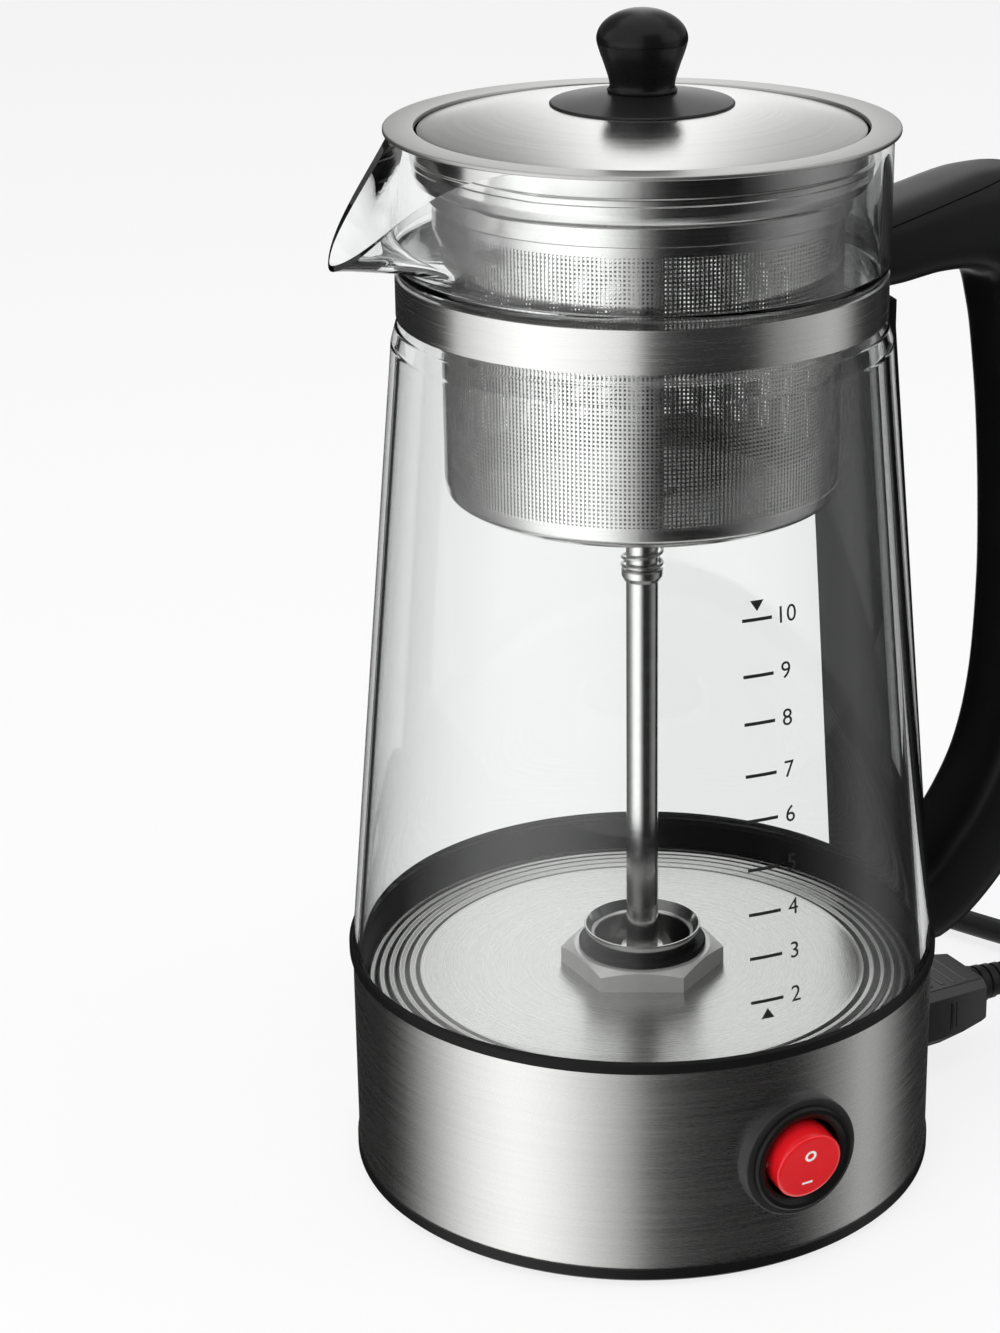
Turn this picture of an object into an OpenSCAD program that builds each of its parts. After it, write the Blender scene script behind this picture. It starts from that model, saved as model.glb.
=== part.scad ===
// Electric glass percolator: a steel base with a hot plate, a tapered glass jug with a side handle,
// a hanging filter basket with a sprung pump stem, a lid with a knob and a detachable lead.
// The origin is on the table under the middle of the base, +Z is up, the handle points to +X,
// the spout to -X and the switch to -Y. Lengths are millimetres.

/* [Base] */
// Outside diameter of the black bottom cover
base_d = 140; // [134:1:150]
// Step from the bottom cover in to the steel shell
ring_step = 0.4; // [0.2:0.1:1]
// Height that the rubber foot ring lifts the cover
foot_h = 1; // [0.6:0.2:3]
// Step from the edge of the cover in to the rubber foot ring
foot_inset = 4; // [3:0.5:5]
// Width of the foot ring
foot_w = 6; // [4:0.5:7]
// Depth that the foot ring is let into the cover
foot_recess = 0.8; // [0.4:0.2:1]
// Visible height of the black bottom cover
ring_h = 3; // [2.6:0.2:5]
// Thickness of the cover's floor
cover_t = 2.5; // [2.2:0.1:2.6]
// Height of the steel shell
shell_h = 49.9; // [48:0.1:60]
// Wall of the steel shell
shell_wall = 1; // [0.6:0.1:1.4]
// Diameter of a tie pillar between plate and cover
pillar_d = 7; // [6:0.5:9]
// Shank diameter of a cover screw
screw_d = 2.4; // [2:0.1:3]

/* [Heating plate] */
// Depth of the hot plate below the foot of the glass
plate_drop = 8; // [6:0.5:10]
// Thickness of the hot plate
plate_t = 1; // [0.8:0.1:1.5]
// Diameter where the pressed ridges of the plate begin
ridge_d = 106; // [100:1:112]
// Height of the pressed ridges
ridge_h = 0.8; // [0.4:0.1:1.2]
// Thickness of the black seal's upright wall
seal_wall = 1.8; // [1.4:0.1:2.2]
// Height of the seal's lip between steel and glass
seal_lip_h = 1.6; // [1:0.1:2.5]
// Diameter of the aluminium heat spreader
spreader_d = 90; // [84:1:94]
// Thickness of the heat spreader
spreader_t = 3; // [2:0.5:4]
// Mean diameter of the tubular heating element
element_d = 80; // [78:0.5:82]
// Diameter of the element's tube
element_tube_d = 6.5; // [6:0.1:7.5]

/* [Well] */
// Bore of the well in the middle of the plate
well_bore_d = 22.8; // [20:0.2:23]
// Wall of the well cup
well_wall = 1.1; // [0.8:0.1:1.4]
// Diameter of the well's flared rim
well_rim_d = 28; // [27:0.5:30]
// Depth of the well below the plate
well_depth = 10; // [8:0.5:12]
// Width across the flats of the well nut
nut_af = 34; // [32:0.5:38]
// Height of the well nut
nut_h = 5; // [4:0.5:6]
// Outside diameter of the black gasket on the nut
gasket_d = 30.6; // [29:0.2:32]
// Height of the gasket
gasket_h = 2.5; // [2:0.1:3]
// Height of the flared rim above the gasket
well_rim_h = 2.8; // [2:0.1:4]

/* [Glass jug] */
// Wall of the glass
glass_wall = 2.2; // [1.8:0.1:2.6]
// Outside diameter at the top of the taper
waist_d = 112.8; // [110:0.2:116]
// Height of the taper above the glass foot
taper_h = 145.5; // [135:0.5:156]
// Height of the neck from the taper to the rim
neck_h = 48.6; // [46:0.2:54]
// Outside diameter of the neck
neck_d = 110.4; // [109:0.2:112]
// Height of the steel band
band_h = 9.5; // [8:0.5:11]
// Thickness of the steel band
band_t = 0.8; // [0.6:0.1:1]
// Height from the top of the taper to the band
band_rise = 7.8; // [7:0.1:9]
// Reach of the spout beyond the neck
spout_reach = 21.3; // [18:0.1:24]
// Height of the spout's underside below the rim
spout_drop = 24.6; // [22:0.2:27]
// Half angle of the spout's cone
spout_half = 31; // [28:0.5:33]

/* [Handle] */
// Width of the handle
handle_w = 24; // [21:0.5:27]
// Reach of the grip's outer face from the jug's axis
handle_reach = 123.4; // [120:0.1:128]
// Thickness of the spine strip on the glass
spine_t = 3.5; // [2.5:0.1:4.5]
// Width of the spine strip in degrees round the jug
spine_deg = 30; // [26:1:34]

/* [Switch] */
// Height of the switch above the bottom cover
switch_rise = 27.8; // [25:0.1:30]
// Diameter of the dark collar round the switch
collar_d = 29; // [28:0.5:32]
// Diameter of the switch bezel
bezel_d = 25.5; // [24:0.5:27]
// Diameter of the switch barrel in the shell
barrel_d = 22; // [21.4:0.1:22.6]
// Diameter of the round rocker button
rocker_d = 17.2; // [16.4:0.1:17.4]
// Distance of the rocker's face from its pin
rocker_face = 5.2; // [4.4:0.1:5.4]
// Tilt of the rocker from one stop to the other
rocker_swing = 20; // [14:1:22]
// Diameter of the rocker's pin
rocker_pin_d = 2; // [1.6:0.1:2.2]

/* [Basket] */
// Outside diameter of the basket's flange
flange_d = 113.6; // [112.6:0.2:118]
// Thickness of the basket's sheet steel
sheet = 0.8; // [0.6:0.1:1]
// Inside diameter of the basket's collar
collar_bore = 100; // [98:0.2:101]
// Outside diameter of the mesh cylinder
mesh_d = 90; // [86:0.5:91]
// Thickness of the woven mesh
mesh_t = 0.6; // [0.4:0.1:0.8]
// Height of the mesh cylinder
mesh_h = 59; // [50:0.5:62]
// Height of the basket's bottom cup
cup_h = 5.3; // [4:0.1:7]
// Outside diameter of the guide tube in the basket
guide_d = 10; // [9.6:0.1:11]
// Bore of the guide tube
guide_bore = 8.2; // [8.2:0.1:8.8]

/* [Stem] */
// Outside diameter of the pump stem
stem_d = 7.6; // [7:0.1:7.7]
// Bore of the pump stem
stem_bore = 6; // [5:0.1:6.2]
// Length of spring between the stop bead and the basket
spring_len = 18.7; // [16:0.1:22]
// Outside diameter of the spring
spring_d = 10.1; // [9.6:0.1:11]
// Wire of the spring
spring_wire = 0.8; // [0.6:0.1:1]
// Turns of the spring
spring_turns = 5; // [4:1:6]

/* [Lid] */
// Gap between lid and collar all round
lid_gap = 0.6; // [0.4:0.1:1]
// Rise of the lid from its edge to its middle
lid_rise = 6; // [4:0.5:8]
// Diameter of the black disc under the knob
disc_d = 40.8; // [36:0.2:44]
// Height of the knob above the disc
knob_h = 18; // [17:0.5:23]
// Widest diameter of the knob
knob_d = 20; // [18:0.2:24]
// Diameter of the knob's neck
knob_neck_d = 14.8; // [12:0.2:16]

/* [Lead] */
// Diameter of the mains lead
cord_d = 6.6; // [6:0.1:7]
// Gap between neighbouring turns of the coil
coil_gap = 0.6; // [0.5:0.1:1]
// Radius of the coil's outermost turn
coil_r = 44; // [42:0.5:46]
// Length of the strain relief on the connector
relief_len = 22; // [20:1:26]

/* [Hidden] */
$fn = 96;
eps = 0.01;

// Clearances
slip = 0.2;
run_gap = 0.3;
pin_gap = 0.05;
rest_gap = 0.05;

// Base levels and radii
base_r = base_d / 2;
shell_r = base_r - ring_step;
shell_in = shell_r - shell_wall;
foot_d = base_d - 2 * foot_inset;
z_cover = foot_h;
z_floor = z_cover + cover_t;
z_shell = z_cover + ring_h;
z_shell_top = z_shell + shell_h;
z_glass = z_shell_top + seal_lip_h;
z_plate = z_glass - plate_drop;
z_under = z_plate - plate_t;
z_spreader = z_under - spreader_t;
z_element = z_spreader - element_tube_d / 2;
seal_in = shell_in - slip - seal_wall;
lip_h = 4;
lip_wall = 2;
chamfer = 0.6;

// Screws under the cover
pillar_angles = [90, 210, 330];
head_d = 6;
pillar_share = 0.647;
pillar_r = mix((spreader_d + pillar_d) / 2, (foot_d - head_d) / 2 - foot_w, pillar_share);
head_h = 1.2;
head_recess = 1.3;
screw_hold = 8;
slot = [4, 0.8, 0.6];
small_head = [4.6, 1.8];

// Spade tabs and wires
tab = [0.8, 6.3];
tab_len = 9;
tab_reach = 7;
wire_d = 2.4;
wire_sides = 6;
wire_steps = 4;

// Well levels
well_r = well_bore_d / 2 + well_wall;
z_nut = z_plate + nut_h;
z_gasket = z_nut + gasket_h;
z_rim = z_gasket + well_rim_h;
z_well = z_plate - well_depth;
nut_turn = 30;
locknut_h = 3;
locknut_af = 33;
element_ends = [35, 325];
cold_pin_d = 3;
cold_pin_len = 4;

// Thermostat and fuse under the heat spreader, on either side of the well
side_r = (locknut_af / cos(30) + element_d - element_tube_d) / 4;
thermostat_d = 15;
thermostat_h = 9;
thermostat_ears = 11.5;
ear_plate = [8, 7, 1.2];
thermostat_tabs = 4;
z_tabs = z_spreader - 16;
fuse_d = 4.4;
fuse_len = 12;
fuse_lead_d = 1.2;
fuse_reach = 14;
z_fuse = z_spreader - fuse_d / 2;

// Glass levels and radii
neck_r = neck_d / 2;
waist_r = waist_d / 2;
z_waist = z_glass + taper_h;
z_band = z_waist + band_rise;
z_band_top = z_band + band_h;
z_jug_top = z_waist + neck_h;
groove_r = neck_r - band_t - 0.4;
band_r = groove_r + band_t + 0.2;
neck_in = neck_r - glass_wall;

// Outline of the jug's outside from foot to rim, as [radius, height]
jug_side = [
  [shell_r - 0.05, z_glass], [waist_r, z_waist], [waist_r - 0.4, z_waist + 3],
  [neck_r, z_waist + 5.4], [groove_r, z_band - 0.9], [groove_r, z_band_top + 0.9],
  [neck_r - 0.2, z_band_top + 1.9], [neck_r, z_band_top + 2.7], [neck_r, z_jug_top - 0.8],
  [neck_r - 0.6, z_jug_top]
];
function taper_r(z) = shell_r - 0.05 + (waist_r - shell_r + 0.05) * (z - z_glass) / taper_h;

// Spout cone
spout_tilt = 30;
spout_apex = [-(neck_r + spout_reach + 7.5), 0, z_jug_top - spout_drop];
spout_len = 58;
spout_tip = [-(neck_r + spout_reach), 0, z_jug_top - spout_drop + 3.4];
spout_cut = atan2(spout_drop - 2.6, spout_reach + 5);

// Side view of the handle from jug to base, as pairs of an inner and an outer point. A point is
// a share of the reach beyond the neck and a share of the height from the shell's foot to the band.
handle_path = [
  [[-0.0531, 0.9937], [-0.0531, 1.0742]], [[0.1239, 0.9956], [0.0944, 1.0869]],
  [[0.3009, 1.0024], [0.2714, 1.0996]], [[0.4484, 0.999], [0.4926, 1.1133]],
  [[0.531, 0.9814], [0.7139, 1.1064]], [[0.5693, 0.9375], [0.8614, 1.0571]],
  [[0.5959, 0.8887], [0.9322, 0.9766]], [[0.6298, 0.8008], [0.9764, 0.8496]],
  [[0.6549, 0.6885], [1, 0.7129]], [[0.6637, 0.5859], [1, 0.5859]],
  [[0.646, 0.4736], [0.9676, 0.4541]], [[0.5929, 0.3906], [0.8835, 0.3418]],
  [[0.5, 0.3296], [0.7507, 0.2588]], [[0.3746, 0.2783], [0.5663, 0.1929]],
  [[0.2861, 0.2515], [0.3894, 0.1587]], [[0.1534, 0.2368], [0.1534, 0.1416]]
];
root_r = neck_r + 0.4;
handle_steps = 3;
handle_sides = 24;
handle_square = 3.2;
part_point = [root_r + 4, z_shell + 1.0684 * (z_band - z_shell)];
part_angle = 13.5;
spine_gap = 0.3;
spine_low = 36;
z_spine_top = z_band - 1.6;
ear_w = 1.2;
ear_inset = 1.2;
ear_gap = 3;
ear_x = 72;
ear_screw_x = 66;
ear_screw_d = 3;
ear_head = [5.4, 2];
ear_nut = [5.5, 2.4];
ear_room = 14;
foot_screw_y = 6;
foot_screw_drop = 3.5;

// Switch places
z_switch = z_cover + switch_rise;
y_collar = -(shell_r + 2.2);
y_bezel = y_collar - 1.6;
y_pivot = y_bezel + 3.2;
barrel_len = 21.8;
y_barrel = y_collar + barrel_len;
rocker_cavity_r = rocker_d / 2 + 0.7;
rocker_back = 3;
rocker_taper = 0.35;
rocker_edge = 0.6;
switch_tabs = 5;

// Inlet and connector places
z_inlet = z_cover + 14.5;
inlet_w = 24.4;
inlet_h = 16.4;
inlet_wall = 1.6;
inlet_deep = 15.6;
inlet_back_t = 3;
bezel_x = shell_r + 1.6;
nose_gap = 0.4;
x_nose = shell_r - inlet_deep + 1;
x_inlet_back = shell_r - inlet_deep - inlet_back_t;
x_tabs = x_inlet_back - tab_reach;
body_front = bezel_x + 0.6;
body_back = 97;
blade = [2, 4];
blade_gap = 0.5;
blade_places = [[-7, -2], [7, -2], [0, 2.4]];
relief_in = 7;
relief_r = 5.2;
x_relief = body_back - relief_in;
x_cord = x_relief + relief_len;

// Basket levels
z_flange = z_jug_top + rest_gap;
z_flange_top = z_flange + 0.95;
collar_r = collar_bore / 2 + sheet;
mesh_r = mesh_d / 2;
z_ledge = z_flange_top - 11.8;
z_step = z_ledge - 4.4;
z_mesh_top = z_step - 3.2;
z_mesh = z_mesh_top - mesh_h;
z_basket = z_mesh - cup_h;
seat_r = mesh_r + 0.8;
spreader_lip = 3;
hole_rows = 4;
hole_step = 9;
hole_d = 2.4;

// Stem levels
z_bell = z_well + run_gap;
bell_h = 14;
bell_r = well_bore_d / 2 - 0.6;
z_stem = z_bell + bell_h - 4;
z_stem_top = z_step + 6;
stop_h = 3;
z_stop = z_basket - spring_len - stop_h;

// Lid levels
lid_r = collar_bore / 2 - lid_gap;
z_lid_edge = z_flange_top - 0.6;
z_lid_top = z_lid_edge + lid_rise;
lid_sphere = (lid_r * lid_r + lid_rise * lid_rise) / (2 * lid_rise);
disc_t = 1.6;
disc_r = disc_d / 2;
disc_flat = 0.42;
disc_edge = 0.4;
z_disc = z_lid_top - (lid_sphere - sqrt(lid_sphere * lid_sphere - disc_r * disc_r));
z_knob = z_lid_top + disc_t;
knob_r = knob_d / 2;
knob_screw_d = 4;
knob_screw_hold = 9;
knob_head = [8, 2.4];

// Lead: the route of the free stretches and the coil
cord_r = cord_d / 2;
coil_lift = 0.9;
coil_pitch = cord_d + coil_gap;
coil_turns = 3.1325;
coil_mid = [67.8, 97.4];
coil_start = 22.3;
rings_per_turn = 24;
lead_points = [
  [112, 0, 15.5], [116, 0, 15.4], [120.6, 1.2, 14.9], [126.4, 3.9, 13.5], [132.4, 8.4, 11.5],
  [137, 14.2, 9.4], [140, 21, 7.4], [141, 28.4, 5.8], [140.1, 35.6, 4.8], [138, 42.2, 4.3],
  [134.2, 51.5, 4.2], [128.5, 65.3, 4.2], [122.8, 79.2, 4.2], [117.1, 93.1, 4.2], [111, 108, 4.2]
];
tail_points = [
  [76.6, 141, 11.4], [68.7, 143.9, 11.3], [59.4, 147.3, 11], [47.7, 151.5, 10.8], [39.3, 153.3, 10.8],
  [30.7, 152.7, 10.9], [22.6, 149.8, 11.3], [15.6, 144.7, 12], [10.3, 137.9, 12.5], [9, 135.65, 12.5]
];
plug_x = 9;
plug_z = 12.5;
plug_y = 135.65;
plug_turn = -30;
plug_len = 54;
plug_w = 27;
plug_tall = 24.8;
pin_back = 10;
tie_turn = 162;
tie_w = 10;
tie_t = 0.7;

// Straight and smooth interpolation
function mix(a, b, t) = a + (b - a) * t;
function smooth(t) = t <= 0 ? 0 : t >= 1 ? 1 : t * t * (3 - 2 * t);
function curve4(a, b, c, d, t) =
  0.5 * (2 * b + (c - a) * t + (2 * a - 5 * b + 4 * c - d) * t * t + (3 * b - a - 3 * c + d) * t * t * t);
function at_end(list, i) = list[max(0, min(len(list) - 1, i))];
function curve_at(list, i, t) =
  curve4(at_end(list, i - 1), list[i], at_end(list, i + 1), at_end(list, i + 2), t);
function unit(v) = v / norm(v);
function bump(u, n) = sign(u) * pow(abs(u), 2 / n);

// Direction of travel along a list of points
function heading(p, i) = unit(at_end(p, i + 1) - at_end(p, i - 1));

// Ring of points round one place of a route
function ring(p, i, r, sides) =
  let (t = heading(p, i), s = unit(cross([0, 0, 1], t)), u = cross(t, s))
  [for (j = [0:sides - 1]) p[i] + r * (cos(360 * j / sides) * s + sin(360 * j / sides) * u)];

// Least gap between tube walls, over places at least one turn apart
function self_gap(p, d, apart) =
  min([for (i = [0:len(p) - 1 - apart]) for (k = [i + apart:len(p) - 1]) norm(p[i] - p[k])]) - d;

// Skin over a list of rings that all have the same number of points
module loft(rings) {
  n = len(rings);
  m = len(rings[0]);
  last = (n - 1) * m;
  sides = [for (i = [0:n - 2]) for (j = [0:m - 1]) let (k = (j + 1) % m)
    each [[i * m + j, (i + 1) * m + j, (i + 1) * m + k], [i * m + j, (i + 1) * m + k, i * m + k]]];
  ends = [for (j = [1:m - 2]) each [[0, j, j + 1], [last, last + j + 1, last + j]]];
  polyhedron(points = [for (r = rings) each r], faces = concat(sides, ends), convexity = 8);
}

// Round tube along a route
module tube(p, d, sides) {
  loft([for (i = [0:len(p) - 1]) ring(p, i, d / 2, sides)]);
}

// Pipe standing on z, from z0 to z1
module pipe(r_out, r_in, z0, z1) {
  translate([0, 0, z0])
    difference() {
      cylinder(h = z1 - z0, r = r_out);
      translate([0, 0, -1]) cylinder(h = z1 - z0 + 2, r = r_in);
    }
}

// Copies round the axis at a radius
module around(angles, r) {
  for (a = angles) rotate(a) translate([r, 0, 0]) children();
}

// Cylinder along +X or along -Y to +Y
module rod_x(r, x0, x1) {
  translate([x0, 0, 0]) rotate([0, 90, 0]) cylinder(h = x1 - x0, r = r);
}
module rod_y(r, y0, y1) {
  translate([0, y0, 0]) rotate([-90, 0, 0]) cylinder(h = y1 - y0, r = r);
}

// Hexagonal prism with its flats at a given width
module hex(af, h) {
  cylinder(h = h, r = af / sqrt(3), $fn = 6);
}

// Base: cover, feet, screws, pillars and shell

module bottom_cover() {
  lip_r = shell_in - slip;
  color("#161616")
    difference() {
      rotate_extrude()
        polygon([
          [0, z_cover], [base_r - chamfer, z_cover], [base_r, z_cover + chamfer], [base_r, z_shell],
          [lip_r, z_shell], [lip_r, z_shell + lip_h], [lip_r - lip_wall, z_shell + lip_h],
          [lip_r - lip_wall, z_floor], [0, z_floor]
        ]);
      pipe(foot_d / 2 + slip, foot_d / 2 - foot_w - slip, z_cover - 1, z_cover + foot_recess);
      around(pillar_angles, pillar_r) {
        translate([0, 0, z_cover - 1]) cylinder(h = head_recess + 1, d = head_d + 2 * slip);
        translate([0, 0, z_cover]) cylinder(h = cover_t + 1, d = screw_d + 2 * slip);
      }
      translate([lip_r - 3 * lip_wall, -inlet_w / 2 - inlet_wall - slip, z_shell])
        cube([3 * lip_wall + 1, inlet_w + 2 * (inlet_wall + slip), lip_h + 1]);
    }
}

module foot_ring() {
  outer = foot_d / 2;
  inner = outer - foot_w;
  bevel = foot_h / 2;
  color("#222222")
    rotate_extrude()
      polygon([
        [inner + bevel, 0], [outer - bevel, 0], [outer, bevel], [outer, foot_h + foot_recess],
        [inner, foot_h + foot_recess], [inner, bevel]
      ]);
}

module cover_screws() {
  z_seat = z_cover + head_recess;
  color("silver")
    around(pillar_angles, pillar_r)
      difference() {
        union() {
          translate([0, 0, z_seat - head_h]) cylinder(h = head_h, d = head_d);
          translate([0, 0, z_seat]) cylinder(h = z_floor - z_seat + screw_hold, d = screw_d);
        }
        for (a = [0, 90])
          rotate(a) translate([-slot[0] / 2, -slot[1] / 2, z_seat - head_h - eps]) cube(slot);
      }
}

module tie_pillars() {
  color("#b8b8b8")
    around(pillar_angles, pillar_r)
      difference() {
        translate([0, 0, z_floor]) cylinder(h = z_under - z_floor, d = pillar_d);
        translate([0, 0, z_floor - 1]) cylinder(h = screw_hold + 3, d = screw_d + 2 * pin_gap);
      }
}

module base_shell() {
  color("#c9cbcc")
    difference() {
      pipe(shell_r, shell_in, z_shell, z_shell_top);
      translate([0, 0, z_switch]) rod_y(barrel_d / 2 + slip, -shell_r - 2, -shell_in + 4);
      translate([shell_in - 6, -inlet_w / 2 - inlet_wall - slip, z_inlet - inlet_h / 2 - inlet_wall - slip])
        cube([12, inlet_w + 2 * (inlet_wall + slip), inlet_h + 2 * (inlet_wall + slip)]);
      foot_screw_places() rod_x(screw_d / 2 + slip, shell_in - 4, shell_r + 4);
    }
}

// Hot plate, seal and what is fixed under the plate

module seal_ring() {
  color("#101010")
    rotate_extrude()
      polygon([
        [seal_in, z_plate], [seal_in + seal_wall, z_plate], [seal_in + seal_wall, z_shell_top],
        [shell_r + 0.2, z_shell_top], [shell_r + 0.2, z_glass], [seal_in + 0.8, z_glass],
        [seal_in, z_glass - 1]
      ]);
}

module heating_plate() {
  rim_r = shell_in - slip;
  ridge_r = ridge_d / 2;
  ridge_step = (seal_in - ridge_r - 1) / 3;
  color("#cfd0cf")
    difference() {
      union() {
        translate([0, 0, z_under]) cylinder(h = plate_t, r = rim_r);
        for (k = [0:2])
          translate([0, 0, z_plate])
            rotate_extrude()
              polygon([
                [ridge_r + k * ridge_step, -eps], [ridge_r + (k + 0.7) * ridge_step, -eps],
                [ridge_r + (k + 0.5) * ridge_step, ridge_h], [ridge_r + (k + 0.2) * ridge_step, ridge_h]
              ]);
      }
      translate([0, 0, z_under - 1]) cylinder(h = plate_t + 2, r = well_r + slip);
    }
}

module heat_spreader() {
  color("#aeb2b5")
    difference() {
      pipe(spreader_d / 2, well_r + slip, z_spreader, z_under);
      thermostat_screw_places()
        translate([0, 0, z_spreader - 1]) cylinder(h = 3, d = screw_d + 2 * pin_gap);
    }
}

module heating_element() {
  color("#8b8b88")
    rotate(element_ends[0])
      rotate_extrude(angle = element_ends[1] - element_ends[0])
        translate([element_d / 2, z_element]) circle(d = element_tube_d);
}

module element_terminals() {
  color("silver")
    for (a = element_ends)
      rotate(a) translate([element_d / 2, 0, z_element]) {
        turn = a < 180 ? -1 : 1;
        rotate([turn * -90, 0, 0]) cylinder(h = cold_pin_len, d = cold_pin_d);
        translate([-tab[0] / 2, turn * cold_pin_len - tab[1] / 2, 2 - tab_len])
          cube([tab[0], tab[1], tab_len]);
      }
}

module thermostat_screw_places() {
  for (s = [-1, 1]) translate([-side_r, s * thermostat_ears, 0]) children();
}

module thermostat() {
  ear_x0 = -side_r - ear_plate[0] / 2;
  ear_y0 = -thermostat_ears - ear_plate[1] / 2;
  color("#e8e2d2")
    difference() {
      union() {
        translate([-side_r, 0, z_spreader - thermostat_h]) cylinder(h = thermostat_h, d = thermostat_d);
        translate([ear_x0, ear_y0, z_spreader - ear_plate[2]])
          cube([ear_plate[0], 2 * thermostat_ears + ear_plate[1], ear_plate[2]]);
        for (s = [-1, 1])
          translate([-side_r - tab[1] / 2, s * thermostat_tabs - tab[0] / 2, z_tabs])
            cube([tab[1], tab[0], z_spreader - thermostat_h - z_tabs + 1]);
      }
      thermostat_screw_places()
        translate([0, 0, z_spreader - 3]) cylinder(h = 4, d = screw_d + 2 * slip);
    }
}

module thermostat_screws() {
  z_seat = z_spreader - ear_plate[2];
  color("silver")
    thermostat_screw_places() {
      translate([0, 0, z_seat - small_head[1]]) cylinder(h = small_head[1], d = small_head[0]);
      translate([0, 0, z_seat - eps]) cylinder(h = 3, d = screw_d);
    }
}

module thermal_fuse() {
  color("#d9c27a")
    translate([side_r, 0, z_fuse])
      rotate([90, 0, 0]) {
        translate([0, 0, -fuse_len / 2]) cylinder(h = fuse_len, d = fuse_d);
        translate([0, 0, -fuse_reach]) cylinder(h = 2 * fuse_reach, d = fuse_lead_d);
      }
}

// Well in the middle of the plate

module well_cup() {
  inner = well_bore_d / 2;
  rim_r = well_rim_d / 2;
  color("#c4c6c6")
    rotate_extrude()
      polygon([
        [0, z_well - well_wall], [well_r, z_well - well_wall], [well_r, z_gasket],
        [rim_r, z_gasket], [rim_r, z_rim - 0.5], [rim_r - 0.5, z_rim], [rim_r - 1.2, z_rim],
        [rim_r - 1.2, z_gasket + 1], [inner, z_gasket + 1], [inner, z_well], [0, z_well]
      ]);
}

module well_nut() {
  color("#b9bcbc")
    difference() {
      intersection() {
        translate([0, 0, z_plate]) rotate(nut_turn) hex(nut_af, nut_h);
        rotate_extrude()
          polygon([
            [0, z_plate], [nut_af * 0.6, z_plate], [nut_af * 0.6, z_nut - 1.6],
            [nut_af / 2 - 0.6, z_nut], [0, z_nut]
          ]);
      }
      translate([0, 0, z_plate - 1]) cylinder(h = nut_h + 2, r = well_r + pin_gap);
    }
}

module well_gasket() {
  color("#0c0c0c")
    pipe(gasket_d / 2, well_r + pin_gap, z_nut, z_gasket);
}

module well_locknut() {
  color("#b9bcbc")
    difference() {
      translate([0, 0, z_spreader - locknut_h]) hex(locknut_af, locknut_h);
      translate([0, 0, z_spreader - locknut_h - 1]) cylinder(h = locknut_h + 2, r = well_r + pin_gap);
    }
}

// Glass jug with its pulled spout

module spout_cone(inset) {
  shift = inset / sin(spout_half);
  translate(spout_apex)
    rotate([0, 90 - spout_tilt, 0])
      translate([0, 0, shift]) cylinder(h = spout_len, r1 = 0, r2 = spout_len * tan(spout_half));
}

module glass_jug() {
  inside = [for (p = jug_side) [p[0] - glass_wall, p[1]]];
  n = len(jug_side);
  color("#dfe8ea", 0.35)
    difference() {
      union() {
        rotate_extrude()
          polygon(concat([[0, z_glass]], jug_side, [[0, z_jug_top]]));
        intersection() {
          spout_cone(0);
          translate([-150, -60, z_waist]) cube([120, 120, neck_h]);
          translate(spout_tip)
            rotate([0, -spout_cut, 0]) translate([-1, -60, -100]) cube([150, 120, 100]);
        }
      }
      rotate_extrude()
        polygon(concat([[0, z_glass - 1], [inside[0][0], z_glass - 1]], inside,
          [[inside[n - 1][0], z_jug_top + 40], [0, z_jug_top + 40]]));
      spout_cone(glass_wall);
    }
}

// Steel band, its clamping ears and the handle

module collar_band() {
  color("#c9cbcc")
    difference() {
      union() {
        pipe(band_r, band_r - band_t, z_band, z_band_top);
        for (s = [-1, 1])
          translate([band_r - 2, s * (ear_gap / 2 + ear_w / 2) - ear_w / 2, z_band + ear_inset])
            cube([ear_x - band_r + 2, ear_w, band_h - 2 * ear_inset]);
      }
      translate([band_r - 4, -ear_gap / 2, z_band - 1]) cube([ear_x, ear_gap, band_h + 2]);
      translate([0, 0, z_band - 1]) cylinder(h = band_h + 2, r = band_r - band_t);
      translate([ear_screw_x, 0, (z_band + z_band_top) / 2]) rod_y(ear_screw_d / 2 + slip, -10, 10);
    }
}

module band_screw() {
  outer = ear_gap / 2 + ear_w;
  color("silver")
    translate([ear_screw_x, 0, (z_band + z_band_top) / 2]) {
      rod_y(ear_screw_d / 2, -outer, outer + ear_nut[1] + 0.6);
      rod_y(ear_head[0] / 2, -outer - ear_head[1], -outer);
    }
}

module band_nut() {
  outer = ear_gap / 2 + ear_w;
  color("silver")
    translate([ear_screw_x, outer, (z_band + z_band_top) / 2])
      rotate([-90, 0, 0])
        difference() {
          hex(ear_nut[0], ear_nut[1]);
          translate([0, 0, -1]) cylinder(h = ear_nut[1] + 2, d = ear_screw_d + 2 * pin_gap);
        }
}

module handle_spine() {
  gap = spine_gap;
  z_low = z_cover + spine_low - 1;
  foot_in = shell_r + gap;
  top_in = taper_r(z_waist) + gap;
  color("#151515")
    difference() {
      rotate(-spine_deg / 2)
        rotate_extrude(angle = spine_deg)
          polygon([
            [foot_in, z_low], [foot_in + spine_t, z_low], [foot_in + spine_t, z_glass],
            [top_in + spine_t, z_waist], [top_in + spine_t, z_spine_top], [top_in, z_spine_top],
            [top_in, z_waist], [foot_in, z_glass]
          ]);
      foot_screw_places() rod_x(screw_d / 2 + slip, shell_r - 2, shell_r + spine_t + 3);
    }
}

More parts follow.
